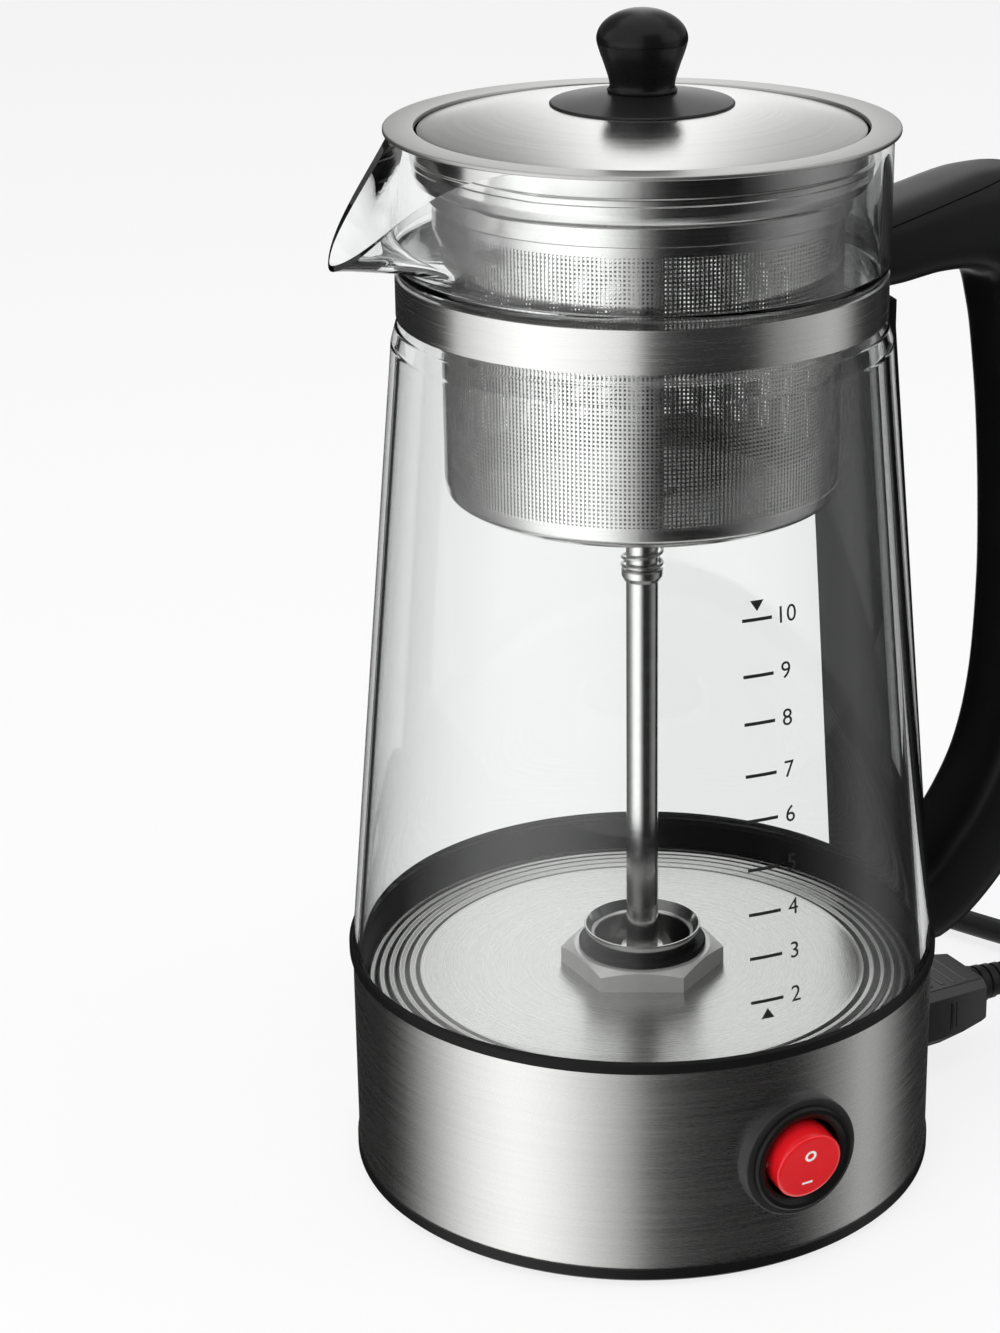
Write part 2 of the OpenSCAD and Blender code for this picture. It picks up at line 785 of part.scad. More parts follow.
// Rings of the whole handle before it is split into grip and cover
function handle_point(i, t, side) =
  let (p = curve_at([for (h = handle_path) h[side]], i, t))
  [mix(root_r, handle_reach, p[0]), 0, mix(z_shell, z_band, p[1])];
function handle_ring(i, t) =
  let (a = handle_point(i, t, 0), b = handle_point(i, t, 1), mid = (a + b) / 2, half = (b - a) / 2)
  [for (j = [0:handle_sides - 1]) let (q = 360 * j / handle_sides)
    mid + bump(sin(q), handle_square) * half + [0, bump(cos(q), handle_square) * handle_w / 2, 0]];

module whole_handle() {
  n = len(handle_path) - 1;
  loft(concat(
    [for (i = [0:n - 1]) for (k = [0:handle_steps - 1]) handle_ring(i, k / handle_steps)],
    [handle_ring(n - 1, 1)]
  ));
}

module above_parting() {
  translate([part_point[0], -50, part_point[1]])
    rotate([0, -part_angle, 0]) translate([-50, 0, 0]) cube([120, 100, 40]);
}

module foot_screw_places() {
  for (s = [-1, 1]) translate([0, s * foot_screw_y, z_under - foot_screw_drop]) children();
}

module handle_grip() {
  color("#171717")
    difference() {
      whole_handle();
      above_parting();
      translate([0, 0, z_band - 20]) cylinder(h = 60, r = root_r);
      translate([0, 0, z_cover]) cylinder(h = z_glass + 20, r = shell_r + spine_gap + spine_t);
      translate([root_r - 8, -ear_room / 2, z_band + ear_inset - run_gap])
        cube([ear_x + 9 - root_r, ear_room, band_h - 2 * ear_inset + 2 * run_gap]);
      foot_screw_places() rod_x(screw_d / 2 + pin_gap, shell_r, shell_r + spine_t + 12);
    }
}

module handle_cover() {
  color("#1b1b1b")
    difference() {
      intersection() {
        whole_handle();
        above_parting();
      }
      translate([0, 0, z_band - 20]) cylinder(h = 60, r = root_r);
    }
}

module foot_screws() {
  color("silver")
    foot_screw_places() {
      rod_x(screw_d / 2, shell_in - 0.9 - eps, shell_r + spine_t + 9);
      rod_x(head_d / 2, shell_in - 2.5, shell_in - 0.9);
    }
}

// Rocker switch on the front of the shell

module switch_collar() {
  color("#3a3a3c")
    difference() {
      translate([0, 0, z_switch])
        difference() {
          rod_y(collar_d / 2, y_collar, -shell_in + 4);
          rod_y(barrel_d / 2 + slip, y_collar - 1, -shell_in + 6);
        }
      translate([0, 0, z_cover]) cylinder(h = shell_h + 10, r = shell_r);
    }
}

module switch_body() {
  color("#141414")
    translate([0, 0, z_switch])
      difference() {
        union() {
          rod_y(bezel_d / 2, y_bezel, y_collar);
          rod_y(barrel_d / 2, y_collar - eps, y_barrel);
        }
        rod_y(rocker_cavity_r, y_bezel - 1, y_pivot + 6.4);
        translate([0, y_pivot, 0]) rod_x(rocker_pin_d / 2 + pin_gap, -barrel_d, barrel_d);
      }
}

module switch_terminals() {
  color("#d8b25a")
    for (s = [-1, 1])
      translate([s * switch_tabs - tab[0] / 2, y_barrel, z_switch - tab[1] / 2])
        cube([tab[0], tab_len, tab[1]]);
}

module rocker() {
  r = rocker_d / 2;
  color("#c8161d")
    translate([0, y_pivot, z_switch])
      rotate([rocker_swing / 2, 0, 0])
        difference() {
          rotate([90, 0, 0])
            rotate_extrude()
              polygon([
                [0, -rocker_back], [r, -rocker_back], [r, 0], [r - rocker_taper, rocker_face - rocker_edge],
                [r - rocker_taper - rocker_edge, rocker_face], [0, rocker_face]
              ]);
          rod_x(rocker_pin_d / 2, -rocker_d, rocker_d);
        }
}

module rocker_pin() {
  reach = barrel_d / 2 - 0.4;
  color("silver")
    translate([0, y_pivot, z_switch]) rod_x(rocker_pin_d / 2, -reach, reach);
}

// Mains inlet in the shell under the handle

// Outline of the inlet with two cut corners at the top
module inlet_outline(grow) {
  w = inlet_w / 2 + grow;
  h = inlet_h / 2 + grow;
  cut = 5;
  polygon([[-w, -h], [w, -h], [w, h - cut], [w - cut, h], [cut - w, h], [-w, h - cut]]);
}

// The same outline as a block from one x to another
module inlet_block(grow, x0, x1) {
  translate([x0, 0, z_inlet])
    rotate([90, 0, 90]) linear_extrude(height = x1 - x0) inlet_outline(grow);
}

module blade_block(grow, x0, x1) {
  for (p = blade_places)
    translate([x0, p[0] - blade[0] / 2 - grow, z_inlet + p[1] - blade[1] / 2 - grow])
      cube([x1 - x0, blade[0] + 2 * grow, blade[1] + 2 * grow]);
}

module inlet_socket() {
  color("#121212")
    difference() {
      union() {
        inlet_block(inlet_wall, x_inlet_back, bezel_x);
        difference() {
          inlet_block(inlet_wall + 1.6, shell_in - 2, bezel_x);
          translate([0, 0, z_cover]) cylinder(h = shell_h, r = shell_r);
        }
      }
      inlet_block(0, x_inlet_back + inlet_back_t, bezel_x + 1);
      blade_block(0, x_inlet_back - 1, x_inlet_back + inlet_back_t + 1);
    }
}

module inlet_pins() {
  color("#cfc9b8")
    blade_block(0, x_tabs, shell_r - 3);
}

// Wires inside the base

module wire(points, hue) {
  n = len(points) - 1;
  route = concat(
    [for (i = [0:n - 1]) for (k = [0:wire_steps - 1]) curve_at(points, i, k / wire_steps)], [points[n]]
  );
  color(hue) tube(route, wire_d, wire_sides);
}

module live_wire() {
  wire([
    [x_tabs, 7, z_inlet - 2], [x_tabs - 5, 8, z_inlet - 4], [34, 5, 9], [24, -10, 8.5], [13, -24, 12],
    [7, -31, 21], [5, y_barrel + 14, z_switch - 2], [switch_tabs, y_barrel + tab_len, z_switch]
  ], "#6b4a2f");
}

module load_wire() {
  wire([
    [-switch_tabs, y_barrel + tab_len, z_switch], [-6, y_barrel + 15, z_switch - 2], [-12, -26, 22],
    [-19, -19, 19], [-25, -13, 20], [-28, -9, 23], [-side_r, -4.6, z_tabs - 1]
  ], "#222222");
}

module fuse_wire() {
  wire([
    [-side_r, 4.6, z_tabs - 1], [-26, 10, 23], [-18, 20, 21], [-2, 22, 22], [10, 8, 24], [20, -10, 28],
    [25, -19, 34], [side_r - 0.4, -fuse_reach - 3, z_fuse - 2.4], [side_r, -fuse_reach, z_fuse - 0.6]
  ], "#8a2a22");
  wire([
    [side_r, fuse_reach, z_fuse - 0.6], [29.2, 16.6, z_fuse - 3], [31.6, 18.8, z_element - 5],
    [34, 20, z_element - 8.4]
  ], "#8a2a22");
}

module neutral_wire() {
  wire([
    [x_tabs, -7, z_inlet - 2], [x_tabs - 4, -9, z_inlet - 1], [40, -14, 18], [38.6, -19, 24],
    [37, -21, 29], [35, -19.7, z_element - 8.2]
  ], "#3a66a8");
}

module earth_wire() {
  end = mix(spreader_d / 2, shell_in, 0.21);
  wire([
    [x_tabs, 0, z_inlet + 2.4], [x_tabs - 4, 0.4, z_inlet + 4], [end - 10, 3, 24], [end - 7, 7, 31],
    [end - 3, 9, z_under - 8.5], [end, 10, z_under - 1.3]
  ], "#7a9a32");
}

// Filter basket that hangs in the neck

module basket_collar() {
  bore = collar_bore / 2;
  color("#cfd0d0")
    rotate_extrude()
      polygon([
        [flange_d / 2, z_flange_top], [flange_d / 2, z_flange], [collar_r, z_flange],
        [collar_r, z_ledge + 2.4], [collar_r - 0.8, z_ledge + 0.4], [collar_r - 2.4, z_ledge - sheet],
        [seat_r + sheet, z_ledge - sheet], [seat_r + sheet, z_step - sheet], [mesh_r, z_step - sheet],
        [mesh_r, z_mesh_top], [mesh_r - sheet, z_mesh_top], [mesh_r - sheet, z_step], [seat_r, z_step],
        [seat_r, z_ledge], [bore - 2, z_ledge], [bore, z_ledge + 2.4], [bore, z_flange_top]
      ]);
}

module basket_mesh() {
  color("#9a9c9d")
    pipe(mesh_r - 0.1, mesh_r - 0.1 - mesh_t, z_mesh, z_mesh_top);
}

module basket_cup() {
  r = mesh_r - 0.1;
  color("#c6c8c8")
    rotate_extrude()
      polygon([
        [guide_d / 2, z_basket], [r - 3, z_basket], [r - 0.9, z_basket + 0.9], [r, z_basket + 3],
        [r, z_mesh], [r - sheet, z_mesh], [r - sheet, z_basket + 3.2],
        [r - 1.5, z_basket + 1.5], [r - 3.2, z_basket + sheet], [guide_d / 2, z_basket + sheet]
      ]);
}

module guide_tube() {
  color("#c0c2c2")
    rotate_extrude()
      polygon([
        [guide_bore / 2, z_basket], [guide_d / 2, z_basket], [guide_d / 2, z_basket + sheet],
        [guide_d / 2 + 3, z_basket + sheet], [guide_d / 2 + 3, z_basket + 2 * sheet],
        [guide_d / 2, z_basket + 2 * sheet], [guide_d / 2, z_mesh_top - 5], [guide_bore / 2, z_mesh_top - 5]
      ]);
}

// Spring: closed end turns, open between them
spring_rings = 8 * spring_turns;
spring_z0 = z_stop + stop_h + spring_wire / 2;
spring_z1 = z_basket - spring_wire / 2 - rest_gap;
spring_mid = (spring_d - spring_wire) / 2;
spring_route = [for (i = [0:spring_rings]) let (a = 360 * i / 8, t = i / spring_rings)
  [spring_mid * cos(a), spring_mid * sin(a), mix(spring_z0, spring_z1, t)]];
echo(spring_gap = self_gap(spring_route, spring_wire, 7));

module stem_spring() {
  a = spring_route[0];
  b = spring_route[spring_rings];
  route = concat(
    [a - [0, spring_wire, 0]], spring_route, [b + [0, spring_wire, 0]]
  );
  color("silver") tube(route, spring_wire, 6);
}

module spreader_plate() {
  r = seat_r - run_gap;
  z0 = z_step + rest_gap;
  stem_room = stem_d / 2 + 2 * run_gap;
  color("#cfd0d0")
    difference() {
      rotate_extrude()
        polygon([
          [stem_room, z0], [r, z0], [r, z0 + spreader_lip], [r - sheet, z0 + spreader_lip],
          [r - sheet, z0 + sheet], [stem_room, z0 + sheet]
        ]);
      for (row = [1:hole_rows])
        around([for (k = [0:6 * row - 1]) 60 * k / row], hole_step * row + 1)
          translate([0, 0, z0 - 1]) cylinder(h = sheet + 2, d = hole_d, $fn = 24);
    }
}

// Lid and knob

module lid_dome() {
  skirt = lid_r - 2;
  color("#d4d5d5")
    difference() {
      union() {
        intersection() {
          translate([0, 0, z_lid_top - lid_sphere]) sphere(r = lid_sphere, $fn = 256);
          translate([0, 0, z_lid_edge - eps]) cylinder(h = 40, r = lid_r);
        }
        translate([0, 0, z_ledge + rest_gap]) cylinder(h = z_lid_edge - z_ledge - rest_gap, r = skirt);
      }
      intersection() {
        translate([0, 0, z_lid_top - lid_sphere]) sphere(r = lid_sphere - sheet, $fn = 256);
        translate([0, 0, z_lid_edge - 2]) cylinder(h = 40, r = skirt - sheet);
      }
      translate([0, 0, z_ledge - 1]) cylinder(h = z_lid_edge - z_ledge - 0.5, r = skirt - sheet);
      translate([0, 0, z_lid_top - 10]) cylinder(h = 20, d = knob_screw_d + 2 * slip);
    }
}

module knob_disc() {
  hole = knob_screw_d / 2 + slip;
  color("#131313")
    difference() {
      rotate_extrude()
        polygon([
          [hole, z_knob], [disc_r * disc_flat, z_knob], [disc_r, z_disc + disc_edge],
          [disc_r, z_disc - 2], [hole, z_disc - 2]
        ]);
      translate([0, 0, z_lid_top - lid_sphere]) sphere(r = lid_sphere, $fn = 256);
    }
}

// Outline of the knob from its foot to its crown, as shares of its radius and height
knob_side = [
  [0.9, 0], [0.86, 0.03], [0.73, 0.11], [0.74, 0.18], [0.82, 0.38], [0.92, 0.52], [0.985, 0.6],
  [1, 0.64], [0.985, 0.7], [0.93, 0.79], [0.8, 0.88], [0.6, 0.945], [0.3, 0.987], [0, 1]
];

module knob() {
  slim = knob_neck_d / knob_d / 0.73;
  color("#121212")
    difference() {
      rotate_extrude()
        polygon(concat([[0, z_knob]], [for (p = knob_side)
          [knob_r * (p[1] < 0.15 ? p[0] * slim : p[0]), z_knob + knob_h * p[1]]]));
      translate([0, 0, z_knob - 1]) cylinder(h = knob_screw_hold + 3, d = knob_screw_d + 2 * pin_gap);
    }
}

module knob_screw() {
  z_head = z_lid_top - sheet - rest_gap;
  color("silver")
    union() {
      translate([0, 0, z_head - eps]) cylinder(h = z_knob + knob_screw_hold - z_head, d = knob_screw_d);
      translate([0, 0, z_head - knob_head[1]]) cylinder(h = knob_head[1], d = knob_head[0]);
    }
}

// Pump stem

module stem_tube() {
  color("#b4b7b8")
    pipe(stem_d / 2, stem_bore / 2, z_stem, z_stem_top);
}

module stem_bell() {
  neck = stem_d / 2;
  z_top = z_bell + bell_h;
  color("#b4b7b8")
    difference() {
      rotate_extrude()
        polygon([
          [bell_r, z_bell], [bell_r, z_bell + 3], [neck + 1.2, z_top - 4], [neck + 1.2, z_top],
          [neck, z_top], [neck, z_stem], [stem_bore / 2, z_stem], [bell_r - 1.2, z_bell + 2.6],
          [bell_r - 1.2, z_bell]
        ]);
      for (a = [0:120:240])
        rotate(a) translate([0, -2, z_bell - 1]) cube([bell_r + 1, 4, 2.6]);
    }
}

module stem_stop() {
  neck = stem_d / 2;
  color("#bcbfc0")
    rotate_extrude()
      polygon([
        [neck, z_stop], [neck + 0.5, z_stop], [neck + 1, z_stop + 0.8], [neck + 1.1, z_stop + 1.6],
        [neck + 1.1, z_stop + stop_h], [neck, z_stop + stop_h]
      ]);
}

// Detachable lead: connector, strain relief, cord, coil, tie and plug

module slab(w, h, x) {
  translate([x, 0, z_inlet])
    rotate([90, 0, 90])
      linear_extrude(height = 0.2)
        polygon([
          [2 - w / 2, -h / 2], [w / 2 - 2, -h / 2], [w / 2, 2 - h / 2], [w / 2, h / 2 - 2],
          [w / 2 - 2, h / 2], [2 - w / 2, h / 2], [-w / 2, h / 2 - 2], [-w / 2, 2 - h / 2]
        ]);
}

module cord_connector() {
  color("#141414")
    difference() {
      union() {
        inlet_block(-nose_gap, x_nose, body_front + 1);
        hull() {
          slab(25, 15.6, body_front);
          slab(24.6, 15.4, body_front + 10);
        }
        hull() {
          slab(24.6, 15.4, body_front + 10);
          slab(20, 12.6, body_back - 0.2);
        }
        for (k = [0:4])
          translate([body_front + 8 + 3 * k, -6, z_inlet]) cube([1.4, 12, 8.4 - 0.22 * k]);
      }
      blade_block(blade_gap, x_nose - 1, shell_r - 1);
      translate([0, 0, z_inlet]) rod_x(relief_r, x_relief, body_back + 1);
    }
}

module strain_relief() {
  long = relief_len - relief_in;
  step = long / 5;
  color("#141414")
    translate([x_relief, 0, z_inlet])
      rotate([0, 90, 0])
        rotate_extrude()
          polygon(concat(
            [[0, 0], [relief_r, 0], [relief_r, relief_in]],
            [for (k = [0:4]) let (r = mix(relief_r, cord_r + 0.7, k / 4), z = relief_in + k * step)
              each [
                [r, z + 0.3], [r, z + step * 0.6], [r - 0.7, z + step * 0.65], [r - 0.7, z + step * 0.95]
              ]],
            [[cord_r + 0.3, relief_len], [0, relief_len]]
          ));
}

module cord_lead() {
  color("#181818") tube(lead_points, cord_d, 10);
}

module cord_tail() {
  color("#181818") tube(tail_points, cord_d, 10);
}

// Coil: spirals in on the table, climbs one layer in half a turn and spirals out again
coil_steps = round(coil_turns * rings_per_turn);
function coil_radius(t) = coil_r - coil_pitch * (coil_turns / 2 - abs(t - coil_turns / 2));
function coil_height(t) = coil_lift + cord_r + coil_pitch * smooth((t - coil_turns / 2) * 2 + 0.5);
function coil_point(t) =
  let (a = coil_start + 360 * t, r = coil_radius(t))
  [coil_mid[0] + r * cos(a), coil_mid[1] + r * sin(a), coil_height(t)];
coil_route = [for (i = [0:coil_steps]) coil_point(coil_turns * i / coil_steps)];
echo(coil_gap_measured = self_gap(coil_route, cord_d, rings_per_turn - 4));

module cord_coil() {
  n = len(coil_route) - 1;
  start_way = [sin(coil_start), -cos(coil_start), 0];
  end_angle = coil_start + 360 * coil_turns;
  end_way = [-sin(end_angle), cos(end_angle), 0];
  color("#181818")
    tube(concat([coil_route[0] + start_way * cord_d], coil_route, [coil_route[n] + end_way * cord_d]),
      cord_d, 6);
}

module coil_tie() {
  inner = coil_r - coil_pitch * 1.4 - cord_r - 0.8;
  outer = coil_r + cord_r - 0.6;
  high = coil_lift + coil_pitch + cord_d + 0.5;
  color("#2a2a2a")
    translate([coil_mid[0], coil_mid[1], 0])
      rotate(tie_turn)
        translate([0, tie_w / 2, 0])
          rotate([90, 0, 0])
            linear_extrude(height = tie_w)
              difference() {
                translate([inner - tie_t, 0.1]) square([outer - inner + 2 * tie_t, high + tie_t]);
                translate([inner, 0.1 + tie_t]) square([outer - inner, high - 0.1 - tie_t]);
              }
}

// Cross section of the plug's body at a distance from its cord end
module plug_slice(w, h, z) {
  translate([-w / 2, -h / 2, z]) cube([w, h, 1]);
}

module plug() {
  color("#161616")
    difference() {
      translate([plug_x, plug_y, plug_z])
        rotate([90, 0, plug_turn])
          union() {
            cylinder(h = 22, r1 = cord_r + 0.8, r2 = 6.4);
            hull() {
              plug_slice(20, 16, 20);
              plug_slice(plug_w, plug_tall, 30);
            }
            hull() {
              plug_slice(plug_w, plug_tall, 30);
              plug_slice(plug_w, plug_tall, plug_len - 1);
            }
          }
      plug_blades();
    }
}

// Two flat blades and a round earth pin, let into the plug
module plug_blades() {
  blade_size = [1.5, 6.3, 16.5];
  blade_apart = 12.7;
  blade_up = 3.9;
  earth_d = 4.8;
  earth_len = 19;
  earth_down = 8;
  pin_foot = plug_len - pin_back;
  translate([plug_x, plug_y, plug_z])
    rotate([90, 0, plug_turn]) {
      for (s = [-1, 1])
        translate([s * blade_apart / 2 - blade_size[0] / 2, blade_up - blade_size[1] / 2, pin_foot])
          cube([blade_size[0], blade_size[1], pin_back + blade_size[2]]);
      translate([0, -earth_down, pin_foot]) cylinder(h = pin_back + earth_len, d = earth_d);
    }
}

module plug_pins() {
  color("#cdbb7a") plug_blades();
}

bottom_cover();
foot_ring();
cover_screws();
tie_pillars();
base_shell();
seal_ring();
heating_plate();
heat_spreader();
heating_element();
element_terminals();
thermostat();
thermostat_screws();
thermal_fuse();
well_cup();
well_nut();
well_gasket();
well_locknut();
glass_jug();
collar_band();
band_screw();
band_nut();
handle_spine();
handle_grip();
handle_cover();
foot_screws();
switch_collar();
switch_body();
switch_terminals();
rocker();
rocker_pin();
inlet_socket();
inlet_pins();
live_wire();
load_wire();
fuse_wire();
neutral_wire();
earth_wire();
basket_collar();
basket_mesh();
basket_cup();
guide_tube();
stem_spring();
spreader_plate();
lid_dome();
knob();
knob_disc();
knob_screw();
stem_tube();
stem_bell();
stem_stop();
cord_connector();
strain_relief();
cord_lead();
cord_coil();
cord_tail();
coil_tie();
plug();
plug_pins();
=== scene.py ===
"""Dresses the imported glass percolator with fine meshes, finishes and a small studio."""
import math

import bmesh
import bpy
from mathutils import Matrix, Vector


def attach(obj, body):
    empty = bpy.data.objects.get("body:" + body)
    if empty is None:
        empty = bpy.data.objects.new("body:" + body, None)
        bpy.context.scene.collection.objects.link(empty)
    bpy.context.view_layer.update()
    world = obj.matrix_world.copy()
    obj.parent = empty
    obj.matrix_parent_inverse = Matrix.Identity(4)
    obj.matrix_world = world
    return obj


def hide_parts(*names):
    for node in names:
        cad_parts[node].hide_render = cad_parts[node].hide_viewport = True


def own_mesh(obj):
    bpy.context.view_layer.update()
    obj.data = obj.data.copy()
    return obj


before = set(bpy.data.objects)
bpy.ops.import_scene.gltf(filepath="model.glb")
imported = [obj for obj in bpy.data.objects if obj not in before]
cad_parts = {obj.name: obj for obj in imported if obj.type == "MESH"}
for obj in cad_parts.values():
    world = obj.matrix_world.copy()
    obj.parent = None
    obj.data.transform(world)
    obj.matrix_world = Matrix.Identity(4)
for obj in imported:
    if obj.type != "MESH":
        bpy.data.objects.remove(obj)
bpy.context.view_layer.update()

bl_info = {
    "name": "Glass percolator dresser",
    "version": (1, 0, 0),
    "blender": (4, 5, 0),
    "location": "View3D > Sidebar > Percolator",
    "description": "Fine meshes and finishes for an electric glass percolator",
    "category": "Object",
}

MM = 0.001

# Levels and radii in millimetres, as the solids have them
SHELL_R = 69.6
Z_GLASS = 55.5
Z_PLATE = 47.5
Z_JUG_TOP = 249.6
GLASS_WALL = 2.2
NECK_R = 55.2
WAIST_R = 56.4
Z_WAIST = 201.0
Z_LEDGE = 238.8
Z_STEP = 234.4
Z_MESH = 172.2
Z_MESH_TOP = 231.2
Z_BASKET = 166.9
Z_STOP = 145.2
Z_SPRING = 148.2
Z_LID_TOP = 256.0
Z_KNOB = 257.6
Z_SWITCH = 28.8
Y_PIVOT = -70.2
Y_COLLAR = -71.8
Z_INLET = 15.5

# Route of the lead as the solids have it: free stretch, coil and tail
LEAD = [
    (112, 0, 15.5), (116, 0, 15.4), (120.6, 1.2, 14.9), (126.4, 3.9, 13.5), (132.4, 8.4, 11.5),
    (137, 14.2, 9.4), (140, 21, 7.4), (141, 28.4, 5.8), (140.1, 35.6, 4.8), (138, 42.2, 4.3),
    (134.2, 51.5, 4.2), (128.5, 65.3, 4.2), (122.8, 79.2, 4.2), (117.1, 93.1, 4.2),
    (111, 108, 4.2),
]
TAIL = [
    (76.6, 141, 11.4), (68.7, 143.9, 11.3), (59.4, 147.3, 11), (47.7, 151.5, 10.8),
    (39.3, 153.2, 10.8), (30.7, 152.6, 10.9), (22.6, 149.8, 11.3), (15.6, 144.7, 12),
    (10.3, 137.9, 12.5), (9, 135.65, 12.5),
]
PLUG_AT = TAIL[-1]
PLUG_TURN = -30
COIL_MID = (67.8, 97.4)
COIL_R = 44
COIL_PITCH = 7.2
COIL_TURNS = 3.1325
COIL_START = 22.3
COIL_LIFT = 4.2
COIL_STEPS_A_TURN = 24

# Side view of the handle: pairs of an inner and an outer point (x, z) from jug to base
HANDLE_PATH = [
    ((52, 207.5), (52, 224)), ((64, 207.9), (62, 226.6)), ((76, 209.3), (74, 229.2)),
    ((86, 208.6), (89, 232)), ((91.6, 205), (104, 230.6)), ((94.2, 196), (114, 220.5)),
    ((96, 186), (118.8, 204)), ((98.3, 168), (121.8, 178)), ((100, 145), (123.4, 150)),
    ((100.6, 124), (123.4, 124)), ((99.4, 101), (121.2, 97)), ((95.8, 84), (115.5, 74)),
    ((89.5, 71.5), (106.5, 57)), ((81, 61), (94, 43.5)), ((75, 55.5), (82, 36.5)),
    ((66, 52.5), (66, 33)),
]

# Heights of the level marks for 2 to 10
LEVELS = {
    2: 68.4, 3: 78.7, 4: 88.9, 5: 99.2, 6: 110.4, 7: 120.6, 8: 132.3, 9: 142.9, 10: 155.3,
}

# Patterns of the finishes in cycles a metre
STREAK_FINE = 5200
STREAK_BROAD = 900
MOTTLE = 300
SKIN_GRAIN = 5200
SKIN_PATCH = 60
GLASS_RIPPLE = 20
GLASS_RIPPLE_UP = 8
# Breaks of the broad streaks for each break of the fine ones
BROAD_BREAKS = 0.36
# Depth of the relief in metres
BRUSH_DEPTH = 0.0002
GRAIN_DEPTH = 0.0001

# Steps of a full turn for large, small and very small round pieces
FINE_STEPS = 192
SWITCH_STEPS = 128
SLEEVE_STEPS = 64
SIGN_STEPS = 48


class PercolatorLook(bpy.types.PropertyGroup):
    """Sizes and colours of the percolator's dressed pieces."""

    steel: bpy.props.FloatVectorProperty(
        name="Steel", description="Colour of the stainless steel", subtype="COLOR",
        size=3, min=0, max=1, default=(0.70, 0.70, 0.69))
    plastic: bpy.props.FloatVectorProperty(
        name="Black plastic", description="Colour of handle, knob and switch", subtype="COLOR",
        size=3, min=0, max=1, default=(0.006, 0.006, 0.0062))
    rocker: bpy.props.FloatVectorProperty(
        name="Rocker", description="Colour of the rocker button", subtype="COLOR",
        size=3, min=0, max=1, default=(0.75, 0.01, 0.016))
    ink: bpy.props.FloatVectorProperty(
        name="Ink", description="Colour of the printed level marks", subtype="COLOR",
        size=3, min=0, max=1, default=(0.01, 0.01, 0.01))
    glass: bpy.props.FloatVectorProperty(
        name="Glass", description="Tint of the glass", subtype="COLOR",
        size=3, min=0, max=1, default=(0.955, 0.963, 0.96))
    upright_wires: bpy.props.IntProperty(
        name="Upright wires", description="Wires round the filter basket",
        min=60, max=400, default=296)
    ring_wires: bpy.props.IntProperty(
        name="Ring wires", description="Rings of wire up the filter basket",
        min=10, max=80, default=62)
    wire: bpy.props.FloatProperty(
        name="Wire", description="Thickness of the basket's wire", unit="LENGTH",
        min=0.0002, max=0.0006, default=0.00046, precision=5)
    cord: bpy.props.FloatProperty(
        name="Cord", description="Thickness of the mains lead", unit="LENGTH",
        min=0.005, max=0.008, default=0.0066, precision=4)
    digit: bpy.props.FloatProperty(
        name="Digits", description="Height of the level numbers", unit="LENGTH",
        min=0.002, max=0.008, default=0.0039, precision=4)


class StudioLook(bpy.types.PropertyGroup):
    """Light and camera of the studio."""

    lens: bpy.props.FloatProperty(
        name="Lens", description="Focal length of the camera", unit="CAMERA",
        min=20, max=200, default=83.2)
    key: bpy.props.FloatProperty(
        name="Key light", description="Power of the large box on the left", unit="POWER",
        min=0, max=200, default=11)
    top: bpy.props.FloatProperty(
        name="Top light", description="Power of the box overhead", unit="POWER",
        min=0, max=200, default=9)
    fill: bpy.props.FloatProperty(
        name="Fill light", description="Power of the box on the right", unit="POWER",
        min=0, max=200, default=5)
    tent: bpy.props.FloatProperty(
        name="Tent", description="Brightness of the light tent's paper", min=0, max=3, default=1.0)
    ambient: bpy.props.FloatProperty(
        name="Ambient", description="Strength of the light from all round",
        min=0, max=2, default=0.45)


def look():
    return bpy.context.scene.percolator_look


def studio():
    return bpy.context.scene.percolator_studio


class Amount:
    """A shader value that takes part in sums as a number does."""

    def __init__(self, nodes, socket):
        self.nodes = nodes
        self.socket = socket

    def sum(self, operation, first, second):
        return self.nodes.node("ShaderNodeMath", {"operation": operation}, {0: first, 1: second})

    def __add__(self, other):
        return self.sum("ADD", self, other)

    def __radd__(self, other):
        return self.sum("ADD", other, self)

    def __sub__(self, other):
        return self.sum("SUBTRACT", self, other)

    def __rsub__(self, other):
        return self.sum("SUBTRACT", other, self)

    def __mul__(self, other):
        return self.sum("MULTIPLY", self, other)

    def __rmul__(self, other):
        return self.sum("MULTIPLY", other, self)

    def __pow__(self, other):
        return self.sum("POWER", self, other)


class Nodes:
    """Nodes of a material or of the world, all made by one method."""

    def __init__(self, owner):
        owner.use_nodes = True
        self.tree = owner.node_tree
        self.tree.nodes.clear()

    def feed(self, socket, value):
        if isinstance(value, Amount):
            self.tree.links.new(value.socket, socket)
        else:
            socket.default_value = value

    def node(self, kind, settings=None, sockets=None, out=0):
        """Node of a kind with its settings, and then the values or links of its sockets."""
        made = self.tree.nodes.new(kind)
        for key, value in (settings or {}).items():
            if key == "stops":
                ramp = made.color_ramp
                for k, (place, colour) in enumerate(value):
                    stop = ramp.elements[k] if k < 2 else ramp.elements.new(place)
                    stop.position = place
                    stop.color = (*colour, 1)
            else:
                setattr(made, key, value)
        for key, value in (sockets or {}).items():
            self.feed(made.inputs[key], value)
        return Amount(self, made.outputs[out]) if made.outputs else None

    def place(self):
        """Object coordinates as x, y and z."""
        where = self.node("ShaderNodeTexCoord", out="Object")
        first = self.node("ShaderNodeSeparateXYZ", None, {0: where})
        return [Amount(self, socket) for socket in first.socket.node.outputs]


